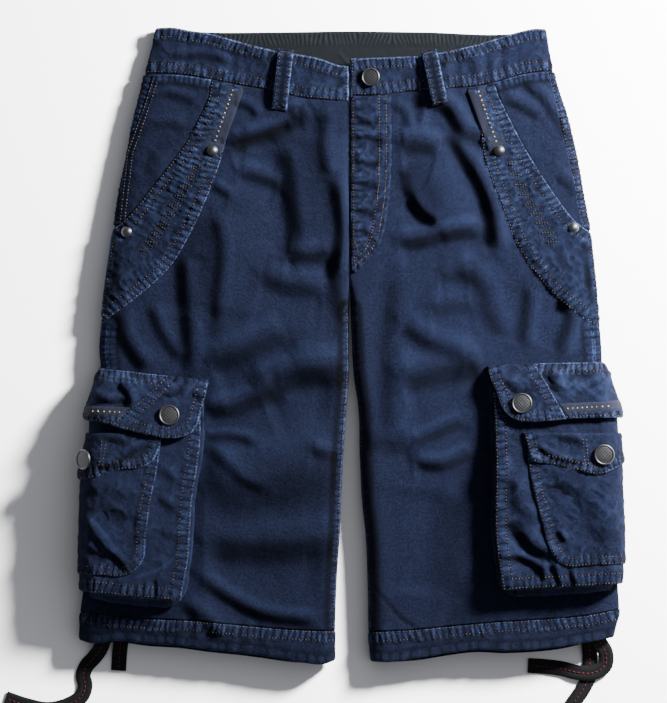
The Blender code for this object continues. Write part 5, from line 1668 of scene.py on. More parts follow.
def slice_line(line: Callable[[Array], Array], start: float, end: float, step: float = 2.5,
               shift: float = 0.0) -> Line:
    """The part of a line across the garment between two x, as a Line."""
    xs = np.linspace(start, end, max(3, int(abs(end - start) / step)))
    return Line(list(zip(xs, line(xs) + shift)), step=step)


def edge_line(curve: Curve, start: float, end: float, inset: float = 0.0, step: float = 2.5) -> Line:
    """The part of a line along the garment between two downs, as a Line."""
    downs = np.linspace(start, end, max(3, int(abs(end - start) / step)))
    return Line(list(zip(curve(downs) - inset, downs)), step=step)


def chord(start: Sequence[float], end: Sequence[float]) -> Line:
    """The straight line between two places."""
    return Line([tuple(start), tuple(end)])


@dataclass
class Workroom:
    """The threads that every part sews with."""

    sewing: Stitcher
    embroidery: Stitcher
    decoration: Stitcher
    red: Stitcher

    def make(self, piece: ClothPiece, x: Array, down: Array) -> ClothPiece:
        """Builds a piece on a grid of places and sews its rows of stitches."""
        piece.build(x, down)
        self.sewing.sew(piece)
        return piece

    def finish(self) -> None:
        """Makes each thread's mesh."""
        for thread in (self.sewing, self.embroidery, self.decoration, self.red):
            if thread.starts:
                thread.make()


@dataclass
class Leg:
    """One half of the shorts: panels, hem and what is sewn at the hip."""

    side: Side
    form: LegForm
    room: Workroom

    def piece(self, name: str, finish: Finish, lift: float, wall: float, middle: tuple[float, float],
              seams: list[Seam], **more: object) -> ClothPiece:
        """A piece on this leg's front, named after its side."""
        return ClothPiece(f"{name}_{self.side.label}", self.form, finish, lift, wall,
                          (self.side.value * middle[0], middle[1]), seams, under=FOLDS[self.side], **more)

    def build_panels(self) -> None:
        """The front with its folds and the plain back."""
        form, sign = self.form, self.side.value
        inseam = edge_line(form.inner, CROTCH_END - 6, 603)
        outseam = edge_line(form.outer, 300, 345, sign * 8.0)
        front = self.piece("front", NAVY, 0.0, CLOTH, (130, 330),
                           [Seam(inseam, (2.4,), 0.35, 7.0), Seam(outseam, (), 0.8, 6.0)],
                           skirt=False, rolled=False)
        self.room.make(front, *leg_grid(form, 136, 280, lambda at: form.waist(at) + 0.15,
                                        lambda at: form.hem(at) - 0.15))
        label = self.side.label
        back = ClothPiece("back_" + label, BackForm(form), NAVY, 0.0, CLOTH, (sign * 130, 330),
                          skirt=False, rolled=False, more_nodes=("back_upper_" + label,))
        back.build(*leg_grid(form, 60, 110, lambda at: BACK_SEAM_DOWN + 0.15 + 0 * at,
                             lambda at: form.hem(at) + self.hem_drop(at) - 0.15, back=True))

    def hem_drop(self, x: Array) -> Array:
        """How far the back hangs below the front: nothing at the seams, the full drop between."""
        outer, inner = self.form.outer(600.0), self.form.inner(600.0)
        share = np.clip((x - outer) / (inner - outer), 0, 1)
        return BACK_HEM_DROP * smoothstep(np.minimum(share, 1 - share) * 4)

    def build_hem(self) -> None:
        """The hem: a flat tube, its front with a roped seam and its back plain."""
        form, edge = self.form, by_x(HEM_EDGE[self.side])
        ends = form.outer(600.0), form.inner(600.0)
        seam, rim = slice_line(form.hem, *ends), slice_line(edge, *ends)
        hem = self.piece("hem", NAVY_WORN, 0.4, HEM_WALL, (140, 605),
                         [Seam(seam, (1.4, 9.4), 1.0, 6.4, 0.12), Seam(rim, (), 0.35, 13.0, wear=0.15)])
        x, down = leg_grid(form, 220, 26, lambda at: form.hem(at) + 0.3, edge)
        back_x, back_down = leg_grid(form, 60, 26, lambda at: form.hem(at) + self.hem_drop(at) + 0.3,
                                     lambda at: edge(at) + self.hem_drop(at), back=True)
        found = hem.measures(x, down)
        lift = hem.relief(x, down, found)
        back = BackForm(form)
        front_points, back_points = form.lifted(x, down, lift), back.place(back_x, back_down)
        front_points[:, [0, -1]] = (front_points[:, [0, -1]] + back_points[:, [0, -1]]) / 2
        returning = slice(-2, 0, -1)    # the back runs the other way, without the two shared edges
        back_inside = back.lifted(back_x, back_down, np.full(back_x.shape, -1.0))[:, returning]
        width = (0, back_inside.shape[1])
        layers = {name: np.pad(values, ((0, 0), width, (0, 0)), mode="edge")
                  for name, values in hem.layers(x, down, found).items()}
        inside = np.concatenate([form.lifted(x, down, lift - 1.0), back_inside], axis=1)
        points = np.concatenate([front_points, back_points[:, returning]], axis=1)
        Sheet(points, inside, layers, closed=True).make(hem.name, hem.finish, HEM_WALL)
        self.room.sewing.sew(hem)

    def build_hip_pocket(self) -> None:
        """The folded band, the facing inside the opening, the side strip and the woven tape."""
        side, form = self.side, self.form
        opening, seam, strip = (Line(points[side]) for points in (OPENING, BAND_SEAM, SIDE_STRIP))
        outer = edge_line(form.outer, opening.places[-1, 1], seam.places[-1, 1])
        top = slice_line(form.waist, opening.places[0, 0], seam.places[0, 0], shift=0.3)
        seams = [Seam(opening, (1.8, 9.8), 1.1, 6.0, 0.2, spread=24),
                 Seam(seam, (1.8, 9.8), 1.1, 6.4, -0.2, spread=18, sunk=1.5),
                 Seam(outer, (3.0,), 0.7, 5.5, wear=1.2)]
        band = self.piece("pocket_band", NAVY_WORN, LAY + 2.0, 2.0, (165, 180), seams, edges=[top],
                          crumple=1.0, crumple_size=9.0)
        self.embroider(self.room.make(band, *coons(top, outer, opening, seam, 46, 190)))

        inner = Line(OPENING[side][:-1])
        top = slice_line(form.waist, strip.places[0, 0], inner.places[0, 0], shift=0.3)
        facing = self.piece("hip_facing", NAVY, LAY + 1.0, 1.0, (185, 90), [Seam(top, (), 0.8, 5.5)],
                            crumple=0.5)
        facing.build(*coons(top, chord(strip.places[-1], inner.places[-1]), strip, inner, 44, 110))

        outer = edge_line(form.outer, strip.places[0, 1], strip.places[-1, 1])
        side_strip = self.piece("side_strip", NAVY_WORN, LAY + 1.3, 1.3, (222, 120),
                                [Seam(strip, (1.6, 6.0), 0.9, 5.5, wear=1.2)], crumple=0.4, crumple_size=8.0)
        self.room.make(side_strip, *coons(chord(outer.places[0], strip.places[0]),
                                          chord(outer.places[-1], strip.places[-1]), outer, strip, 12, 100))
        self.build_hip_tape()

    def embroider(self, band: ClothPiece) -> None:
        """A zigzag of dashes along the middle of the pocket's band.

        Args:
            band: the band's cloth.
        """
        line = Line(ZIGZAG[self.side], step=1.0)
        half = ZIGZAG_STEP / 2
        for i in range(int(line.length / ZIGZAG_STEP)):
            along = np.array([0, 0, 1, 1, 1, 2]) * half + i * ZIGZAG_STEP
            offset = np.array([1, -1, -1, 1, -1, 1]) * half * self.side.value
            corners = np.column_stack(line.beside(np.minimum(along, line.length), offset))
            for start, end in ((0, 1), (2, 3), (4, 5)):
                self.room.embroidery.draw(band, [tuple(corners[start]), tuple(corners[end])], DASH)

    def build_hip_tape(self) -> None:
        """The woven tape beside the pocket, with a line of dots."""
        start, end = (np.array(place, float) for place in HIP_TAPE[self.side])
        run = (end - start) / np.hypot(*(end - start))
        half = np.array([run[1], -run[0]]) * HIP_TAPE_WIDTH / 2
        a, b, c, d = start + half, start - half, end + half, end - half
        top, foot, near, far = chord(a, b), chord(c, d), chord(a, c), chord(b, d)
        middle = (start + end) / 2
        tape = self.piece("hip_tape", TAPE, 3.5, 1.0, (abs(middle[0]), middle[1]),
                          [Seam(near, (1.5,), 0.3, 6.0, sunk=0.5), Seam(far, (1.5,), 0.3, 6.0, sunk=0.5),
                           Seam(foot, (1.5,), 0.2, 6.0)], edges=[top])
        tape.build(*coons(top, foot, near, far, 22, 70))
        self.room.decoration.draw(tape, [tuple(start + run * 3), tuple(end - run * 9)], DOT)

    def build_belt_loop(self) -> None:
        """A strap over the waistband with a row of stitches along both edges."""
        form = LoopForm(self.form, *LOOP_LINE[self.side])
        half = LOOP_WIDTH / 2
        a, b, c, d = (form.corner(*place) for place in ((0, -half), (0, half), (1, -half), (1, half)))
        top, foot, near, far = chord(a, b), chord(c, d), chord(a, c), chord(b, d)
        strap = ClothPiece("belt_loop_" + self.side.label, form, NAVY_WORN, 1.5, 1.5, form.corner(0.5, 0.0),
                           [Seam(near, (2.6,), 0.5, 6.0), Seam(far, (2.6,), 0.5, 6.0)], edges=[top, foot],
                           skirt=False)
        self.room.make(strap, *coons(top, foot, near, far, 18, 64))
        for share in (0.06, 0.95):
            ends = [form.corner(share, -half + 2), form.corner(share, half - 2)]
            self.room.sewing.draw(strap, ends, BAR_TACK)


@dataclass
class Waist:
    """The waistband: two fronts, the back, the dark facing inside it, and the fly."""

    legs: dict[Side, Leg]
    room: Workroom

    def build_fronts(self) -> None:
        """Each front band between its top line and its seam, roped along both."""
        for side, leg in self.legs.items():
            form = leg.form
            top, centre_x = by_x(WAIST_TOP[side]), form.inner(50.0)
            left_x, right_x = form.outer(20.0), form.inner(20.0)
            upper = slice_line(top, left_x, right_x)
            lower = slice_line(form.waist, form.outer(47.0), right_x)
            centre = chord((centre_x, float(top(centre_x))), (centre_x, float(form.waist(centre_x))))
            seams = [Seam(upper, (2.2, 9.4), 1.05, 6.0, 0.15), Seam(lower, (1.8, 9.8), 0.8, 7.0, -0.1),
                     Seam(centre, (2.4,), 0.3, 6.0)]
            band = leg.piece("waistband_front", NAVY_WORN, BAND_PROUD, BAND_WALL, (110, 40), seams,
                             folds=WAIST_FOLDS[side], skirt=False, crumple=0.75, crumple_size=12.0)
            self.room.make(band, *leg_grid(form, 170, 34, top, lambda at: form.waist(at) - 0.15))

    def build_back(self) -> None:
        """The back band, flat on the ground and rolled up at its ends."""
        left, right = self.legs[LEFT].form, self.legs[RIGHT].form
        top = by_x(BACK_TOP)
        rows, columns = 16, 120
        share = np.linspace(0, 1, columns)[None, :]
        along = np.linspace(0, 1, rows)[:, None]
        x = np.zeros((rows, columns))
        for _ in range(SETTLE):
            down = top(x) + (BACK_SEAM_DOWN - 0.15 - top(x)) * along
            roll = BACK_ROUND * left.seam(down)
            width = right.outer(down) - left.outer(down)
            x = left.outer(down) + crowded(share, 0.12, 0.12, roll, roll, width)
        reach = np.maximum(np.clip(1 - (x - left.outer(down)) / roll, 0, 1),
                           np.clip(1 - (right.outer(down) - x) / roll, 0, 1))
        points = stacked(x, down, (left.seam(down) - 1.5) * (1 - np.sqrt(1 - reach**2)))
        Sheet(points, points + (0, 0, 1), plain_layers(x.shape)).make("waistband_back", NAVY_WORN, BAND_WALL)

    def build_facing(self) -> None:
        """The facing inside the back band: fine pleats along its top and a soft sag below them."""
        top = by_x(BACK_TOP)
        along = np.linspace(0, 1, 34)[:, None]
        x = np.linspace(-FACING_REACH, FACING_REACH, 330)[None, :] + 0 * along
        down = top(x) + 1.0 + (BACK_SEAM_DOWN - 2.0 - top(x)) * along
        below = down - top(x) - 1.0
        phase = x / PLEAT_PITCH + 0.8 * LADDER(x / 17, below / 14)
        pleats = (0.5 + 0.5 * np.cos(2 * math.pi * phase)) * (0.7 + 0.3 * MEDIUM(x / 9, below / 5))
        pleats = pleats * smoothstep(below / 1.2) * (1 - smoothstep((below - PLEAT_LENGTH) / 4.0))
        ridge = bump((below - PLEAT_LENGTH - 3.0) / 0.9)
        crease = bump((x + 6 - (below - 28) * 0.9) / 2.2) * smoothstep((below - 18) / 6)
        sag = 0.35 * COARSE(x / 30, below / 20)
        points = stacked(x, down, BAND_WALL + 1.3 + pleats + 0.25 * ridge + 0.6 * crease + sag)
        facing = Sheet(points, points - (0, 0, 1), plain_layers(x.shape, pleats))
        facing.with_skirt(stacked(x, down, np.full(x.shape, 2.5))).make("waistband_facing", FACING, None)

    def build_fly(self) -> None:
        """The placket from its free edge to the curved double row, wrinkled across."""
        leg = self.legs[RIGHT]
        edge = Line(FLY_EDGE)
        beyond = Line([(x + 5.0, down) for x, down in FLY_STITCH])
        top = slice_line(leg.form.waist, edge.places[0, 0], beyond.places[0, 0], shift=0.3)
        foot = Line([tuple(edge.places[-1]), (4, 245), tuple(beyond.places[-1])], step=0.5)
        fly = ClothPiece("fly_front", leg.form, NAVY, LAY + CLOTH, CLOTH, (14, 150),
                         [Seam(edge, (2.6,), 0.8, 7.6, spread=26, wear=0.7),
                          Seam(beyond, (6.0, 13.0), 0.7, 6.2, wear=0.0, spread=6, sunk=1.2)],
                         folds=FLY_FOLDS, crumple=1.0, crumple_size=10.0, under=FOLDS[RIGHT])
        self.room.make(fly, *coons(top, foot, edge, beyond, 34, 130))
        for shift in (-1.0, -8.0):
            row = [(x + shift, down) for x, down in FLY_STITCH[:-1]] + [(4, 240 + shift)]
            self.room.sewing.draw(fly, row, straight=False)
        self.room.sewing.draw(fly, [(3.0, 214), (7.5, 226)], TACK)


@dataclass
class CargoPocket:
    """A side pocket: face, bellows wall, flap with its corner and tape, and the small pocket on it."""

    leg: Leg
    bag: BagForm
    flap: FlapForm
    room: Workroom

    @property
    def sign(self) -> int:
        """+1 on the right, -1 on the left."""
        return self.leg.side.value

    def piece(self, name: str, form: Form, finish: Finish, lift: float, middle: tuple[float, float],
              seams: list[Seam], wall: float = CLOTH, **more: object) -> ClothPiece:
        """A piece of the pocket, named after its side."""
        return ClothPiece(f"{name}_{self.leg.side.label}", form, finish, lift, wall,
                          (self.sign * middle[0], middle[1]), seams, **more)

    def to_side(self, points: Points, height: float) -> Line:
        """A line whose last point goes on round the side, down to a height on the wall."""
        places = [(float(self.bag.unrolled(x, down)), down) for x, down in points[:-1]]
        end_down = points[-1][1]
        return Line([*places, (float(self.bag.end_x(end_down, height)), end_down)])

    def end_line(self, start: float, end: float, height: float) -> Line:
        """The line down the side wall at a height, between two downs."""
        downs = np.linspace(start, end, 40)
        return Line(list(zip(self.bag.end_x(downs, height), downs)))

    def round_side(self, near: Points, foot: Points, top: Points, height: float) -> tuple[Line, ...]:
        """Top, foot, near and far line of a piece that goes on round the side, down to a height."""
        top_line, foot_line = self.to_side(top, height), self.to_side(foot, height)
        return top_line, foot_line, Line(near), self.end_line(top_line.places[-1, 1],
                                                              foot_line.places[-1, 1], height)

    def build_face(self) -> None:
        """The pocket's large face, from the mouth to the foot and round under the leg."""
        bag, sign = self.bag, self.sign
        rows, columns = 112, 110
        share = np.linspace(0, 1, columns)[None, :]
        along = np.linspace(0, 1, rows)[:, None]
        x = np.full((rows, columns), float(bag.front(400.0)))
        for _ in range(SETTLE):
            seen = np.clip(x * sign, None, 268) * sign
            mouth = bag.seam(seen) + BAG_MOUTH
            down = mouth + (bag.bottom(seen) - mouth) * along
            end = bag.end_x(down, BAG_FOOT) + sign * (BAG_FOOT * math.pi / 2 + BAG_LIP - BAG_FOOT)
            x = bag.front(down) + (end - bag.front(down)) * share
        front = edge_line(bag.front, 360, float(bag.bottom(bag.front(570.0))))
        foot = self.to_side(BAG_FOOT_LINE[self.leg.side], BAG_FOOT)
        face = self.piece("cargo_face", bag, NAVY, 0.0, (200, 480),
                          [Seam(front, (1.8, 11.0), 0.7, 7.0), Seam(foot, (1.8, 11.0), 0.9, 7.0)],
                          skirt=False, crumple=0.8, crumple_size=13.0, under=bag.creases)
        self.room.make(face, x, down)

    def build_gusset(self) -> None:
        """The bellows wall: down the front edge, round the corner, along the foot, with one pleat."""
        bag, leg, sign = self.bag, self.leg.form, self.sign
        across = np.linspace(0, 1, 190)[None, :]
        along = np.linspace(0, 1, 22)[:, None]
        lowest = float(bag.bottom(bag.front(GUSSET_TURN_DOWN + 15)))
        start = float(bag.seam(bag.front(BAG[0, 0]))) + BAG_MOUTH + 2
        turn_from, turn_to = GUSSET_TURN
        down_front = start + (GUSSET_TURN_DOWN - start) * np.clip(across / turn_from, 0, 1)
        turn = np.clip((across - turn_from) / (turn_to - turn_from), 0, 1) * math.pi / 2
        outwards = np.clip((across - turn_to) / (1 - turn_to), 0, 1)

        def run_round(inset: float, reach_x: float, reach_down: float) -> tuple[Array, Array]:
            """x and down of a line that runs down the front edge and then turns outwards."""
            return (bag.front(down_front) + sign * (inset + reach_x * (1 - np.cos(turn))),
                    down_front + reach_down * np.sin(turn))

        foot_x, foot_down = run_round(-1.5, 22.0, lowest + GUSSET_SPREAD - 4 - GUSSET_TURN_DOWN)
        foot_x = foot_x + (leg.outer(foot_down) - sign * 11.0 - foot_x) * outwards
        foot_down = foot_down + (bag.bottom(foot_x) + 6 - foot_down) * outwards
        foot_z = leg.height(foot_x, foot_down) + 1.2 + 0.8 * outwards
        top_x, top_down = run_round(0.8, 16.0, lowest - 2 - GUSSET_TURN_DOWN)
        top_x = top_x + (bag.outer(top_down) - sign * 7.0 - top_x) * outwards
        top_down = top_down + (bag.bottom(top_x) - 2.0 - top_down) * outwards
        past = np.clip(((top_x - bag.outer(top_down)) * sign + BAG_CORNER) / BAG_CORNER, 0, 1)
        top_z = bag.top(top_x, top_down) - BAG_CORNER * (1 - np.sqrt(1 - past**2)) - CLOTH - 1.1
        top_z = top_z + bag.relief(top_x, top_down)
        pleat = GUSSET_PLEAT * np.sin(along * 2 * math.pi) + 0.7 * MEDIUM(across * 26, along * 3)
        x = foot_x + (top_x - foot_x) * along - sign * pleat * np.cos(turn)
        down = foot_down + (top_down - foot_down) * along + pleat * np.sin(turn)
        points = stacked(x, down, foot_z + (top_z - foot_z) * along)
        level = 0 * along
        inwards = np.stack([sign * np.cos(turn) + level, np.sin(turn) + level, 0 * turn + level], axis=-1)
        length = across * GUSSET_LENGTH + level
        edge = np.minimum(along, 1 - along) * GUSSET_DEPTH + 0 * across
        ladder = LADDER(length / 7, edge / 5) * 0.5 + 0.5
        seam = np.stack([edge, length, np.full(x.shape, 0.8)], axis=-1)
        rows = np.stack([np.full(x.shape, 2.0), np.full(x.shape, NO_ROW), ladder * 0.8], axis=-1)
        # a line down the pleat's middle that the twill darkens as painted shade, with a faint pale mark
        fold = np.repeat((-1.5 * bump((along - 0.5) / 0.15) + 0 * across)[..., None], 3, axis=-1)
        sheet = Sheet(points, points + 0.7 * inwards, {"seam": seam, "rows": rows, "fold": fold})
        sheet.make("cargo_gusset_" + self.leg.side.label, NAVY, 1.2)

    def build_flap(self) -> None:
        """The flap, its sewn-on front corner and the tape along its foot."""
        side = self.leg.side
        top, foot, near, end = self.round_side(FLAP_EDGE[side], FLAP_FOOT[side],
                                               sorted(FLAP_TOP[side], key=lambda place: abs(place[0])), 12.0)
        near_seam = Seam(near, (2.0, 9.4), 0.7, 6.2)
        seams = [Seam(top, (2.2, 10.4), 0.9, 6.6, 0.15), near_seam, Seam(foot, (2.0, 9.4), 0.6, 6.6)]
        flap = self.piece("cargo_flap", self.flap, NAVY_WORN, CLOTH, (220, 370), seams, skirt=False,
                          crumple=1.1, crumple_size=12.0, under=self.flap.creases)
        self.room.make(flap, *coons(top, foot, near, end, 120, 48))

        diagonal = Line(FLAP_DIAGONAL[side])
        corner_top, corner_foot = (
            Line([*(tuple(p) for p in line.places if abs(p[0]) < abs(diagonal.places[i, 0])),
                  tuple(diagonal.places[i])]) for line, i in ((top, 0), (foot, -1)))
        seams = [Seam(diagonal, (1.8, 9.0), 0.8, 6.2, 0.3), near_seam,
                 Seam(corner_foot, (2.0, 9.4), 0.6, 6.6)]
        corner = self.piece("flap_corner", self.flap, NAVY, CLOTH + 1.3, (175, 372), seams, wall=1.0,
                            edges=[corner_top], crumple=0.9, crumple_size=12.0, under=self.flap.creases)
        self.room.make(corner, *coons(corner_top, corner_foot, near, diagonal, 56, 44))
        self.build_flap_tape()

    def build_flap_tape(self) -> None:
        """A woven tape from the diagonal seam round the side, with a row of dots."""
        begin, high, low = FLAP_TAPE[self.leg.side]
        top, foot = (self.to_side([(start, downs[0]), (self.sign * 245, sum(downs) / 2),
                                   (self.sign * 280, downs[1])], 15.0)
                     for start, downs in zip(begin, (high, low)))
        near, end = (chord(top.places[i], foot.places[i]) for i in (0, -1))
        tape = self.piece("flap_tape", self.flap, TAPE, CLOTH + 1.3, (242, (high[0] + low[0]) / 2),
                          [Seam(top, (1.2,), 0.3, 6.0), Seam(foot, (1.2,), 0.3, 6.0)], wall=1.0,
                          edges=[near, end])
        tape.build(*coons(top, foot, near, end, 60, 14))
        across = np.column_stack(foot.at(np.linspace(0, foot.length, len(top.places))))
        dots = (top.places + across)[2:-6:4] / 2
        self.room.decoration.draw(tape, [tuple(dot) for dot in dots], DOT)

    def build_patch(self) -> None:
        """The small pocket on the face and its flap."""
        side, sign = self.leg.side, self.sign
        beyond = [(sign * 235, 406), (sign * 280, 406)]
        top, foot, near, end = self.round_side(PATCH_EDGE[side], PATCH_FOOT[side],
                                               [PATCH_EDGE[side][0], *beyond], 7.0)
        patch = self.piece("patch_pocket", self.bag, NAVY, LAY + CLOTH, (235, 490),
                           [Seam(near, (1.8, 8.6), 0.7, 6.4), Seam(foot, (1.8, 8.6), 0.6, 6.4)], edges=[top],
                           folds=PATCH_FOLDS[side], crumple=0.8, crumple_size=12.0, under=self.bag.creases)
        self.room.make(patch, *coons(top, foot, near, end, 84, 90))

        top, foot, near, end = self.round_side(PATCH_FLAP_EDGE[side], PATCH_FLAP_FOOT[side],
                                               [PATCH_FLAP_EDGE[side][0], *beyond], 12.0)
        flap = self.piece("patch_flap", self.bag, NAVY_WORN, 2 * LAY + 2 * CLOTH, (235, 425),
                          [Seam(near, (1.8, 8.0), 0.5, 6.0), Seam(foot, (1.8, 8.0), 0.9, 6.2)], edges=[top],
                          folds=PATCH_FLAP_FOLDS[side], crumple=0.7, crumple_size=10.0)
        self.room.make(flap, *coons(top, foot, near, end, 84, 40))
        for shift in (0.0, 3.2):
            self.room.sewing.draw(flap, [(x + shift, down) for x, down in BUTTONHOLE_ROW[side]])


# ------------------------------------------------------------------ metal
@dataclass
class Metal:
    """A round metal piece, turned from a profile (radius, height) and stood on the cloth."""

    name: str
    profile: list[tuple[float, float]]
    centre: Array
    normal: Array
    hatched: bool

    def build(self) -> bpy.types.Object:
        """Turns the profile; a hatched cap gets crossing grooves inside its rim."""
        rings, steps = 64, 72
        profile = Line(self.profile, step=0.1, straight=True)
        radius, height = profile.at(np.linspace(0, profile.length, rings))
        angle = np.arange(steps) * 2 * math.pi / steps
        r, h = radius[:, None] + 0 * angle, height[:, None] + 0 * angle
        x, y = r * np.cos(angle), r * np.sin(angle)
        rim = max(radius) * RIM_SHARE
        top = np.arange(rings)[:, None] < np.argmax(radius)
        # below the widest rim the side and base are dimmed to 0.4, painted shade under the cap; the raised
        # rim is brighter by rub wear
        bright = np.where(r > rim, 0.85, 0.75) * np.where(top, 1, 0.4)
        if self.hatched:
            hatch = np.maximum(np.cos((x + y) * HATCH_TURNS), np.cos((x - y) * HATCH_TURNS))
            groove = smoothstep((hatch - 0.55) / 0.35) * top * smoothstep((rim - r) / 0.8)
            ring = bump((r - rim) / 0.45) * top
            h = h - 0.16 * groove - 0.22 * ring
            bright = bright * (1 - 0.75 * groove) * (1 - 0.7 * ring)
        poles = [[0, 0, height[0]], [0, 0, height[-1]]]
        points = self.placed(np.concatenate([np.stack([x, y, h], axis=-1).reshape(-1, 3), poles]))
        count, here = rings * steps, np.arange(steps)
        following = (here + 1) % steps
        upper = np.column_stack([np.full(steps, count), here, following])
        lower = np.column_stack([np.full(steps, count + 1), following + count - steps, here + count - steps])
        faces = [*grid_faces(rings, steps, closed=True)[:, ::-1].tolist(), *upper.tolist(), *lower.tolist()]
        # the lowest pole gets 0.2, painted shade under the cap
        level = np.concatenate([bright.reshape(-1), [0.7, 0.2]])
        piece = add_piece(self.name + "_metal", points, faces, PEWTER,
                          {"fold": np.repeat(level[:, None], 3, axis=1)})
        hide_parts(self.name)
        LOG.info("%s: turned", self.name)
        return piece

    def placed(self, local: Array) -> Array:
        """Turns local points so that Z is the normal, and moves them to the centre."""
        z = self.normal / np.linalg.norm(self.normal)
        x = np.cross([0.0, 1.0, 0.0], z)
        x /= np.linalg.norm(x)
        y = np.cross(z, x)
        return self.centre + local[:, :1] * x + local[:, 1:2] * y + local[:, 2:] * z


RIVET = [(0.05, 3.2), (1.4, 3.1), (2.6, 2.75), (3.8, 2.1), (4.6, 1.45), (RIVET_RADIUS, 0.9),
         (RIVET_RADIUS, 0.0), (0.05, 0.0)]


def cap_profile(radius: float) -> list[tuple[float, float]]:
    """A low dome inside a raised rim, over a short base."""
    outline = [(0.4, 3.25), (0.74, 3.0), (RIM_SHARE, 2.95), (0.86, 3.45), (0.93, 3.4), (0.985, 2.9),
               (1.0, 2.4), (1.0, 1.2), (0.7, 0.0)]
    return [(0.05, 3.3), *((radius * share, height) for share, height in outline), (0.05, 0.0)]


@dataclass
class Fittings:
    """Every cap and rivet."""

    legs: dict[Side, Leg]
    pockets: dict[Side, CargoPocket]

    def seat(self, form: Form, name: str, place: tuple[float, float], lift: float,
             profile: list[tuple[float, float]], hatched: bool) -> None:
        """Stands a piece on a form at a place, along the form's slope.

        Args:
            form: what carries it.
            name: its CAD node.
            place: x and down.
            lift: its foot above the form.
            profile: its radii and heights.
            hatched: whether it has the cross-hatch.
        """
        x, down = np.array([float(place[0])]), np.array([float(place[1])])
        centre = form.lifted(x, down, np.array([lift]))[0]
        normal = form.lifted(x, down, np.array([lift + 1.0]))[0] - centre
        Metal(name, profile, centre, normal, hatched).build()

    def build(self) -> None:
        """All of them, seated where the CAD has them."""
        for side, leg in self.legs.items():
            label = side.label
            smooth = PlainLeg(leg.form)
            self.seat(smooth, "tape_rivet_" + label, TAPE_RIVET[side], 4.2, RIVET, False)
            self.seat(smooth, "pocket_rivet_" + label, POCKET_RIVET[side], 2.9, RIVET, False)
            bag = self.pockets[side].bag
            place = FLAP_BUTTON[side]
            room = float(self.pockets[side].flap.room(place[1] - bag.seam(place[0])))
            self.seat(PlainBag(bag), "flap_button_" + label, place, room + CLOTH + 1.65,
                      cap_profile(BUTTON_RADIUS), True)
            self.build_patch_button(side, bag)
        self.seat(PlainLeg(self.legs[RIGHT].form), "waist_button", WAIST_BUTTON, 1.1,
                  cap_profile(WAIST_BUTTON_RADIUS), True)

    def build_patch_button(self, side: Side, bag: BagForm) -> None:
        """The small pocket's cap, on the rounded side of the pocket."""
        x, down = PATCH_BUTTON[side]
        corner_x = float(bag.corner_x(down))
        angle = math.asin(min(1.0, max(0.0, (x - corner_x) * side.value / (BAG_CORNER + 3.4))))
        normal = np.array([side.value * math.sin(angle), 0.0, math.cos(angle)])
        top = float(bag.top(corner_x, down))
        centre = stacked(corner_x, down, top - BAG_CORNER) + normal * (BAG_CORNER + 4.7)
        Metal("patch_button_" + side.label, cap_profile(BUTTON_RADIUS), centre, normal, True).build()


class PlainLeg(Form):
    """A leg's vault without the fine folds, for what is stood on it."""

    def __init__(self, leg: LegForm) -> None:
        """Keeps the leg."""
        self.leg = leg

    def place(self, x: Array, down: Array) -> Array:
        """The mean of the leg's surface over 9 mm, which a rigid piece spans."""
        offsets = ((0, 0), (4, 0), (-4, 0), (0, 4), (0, -4))
        height = sum(self.leg.height(x + a, down + b) for a, b in offsets) / len(offsets)
        return stacked(x, down, height)


class PlainBag(Form):
    """A pocket's smooth top."""

    def __init__(self, bag: BagForm) -> None:
        """Keeps the pocket."""
        self.bag = bag

    def place(self, x: Array, down: Array) -> Array:
        """The smooth top's points."""
        return stacked(x, down, self.bag.top(x, down))


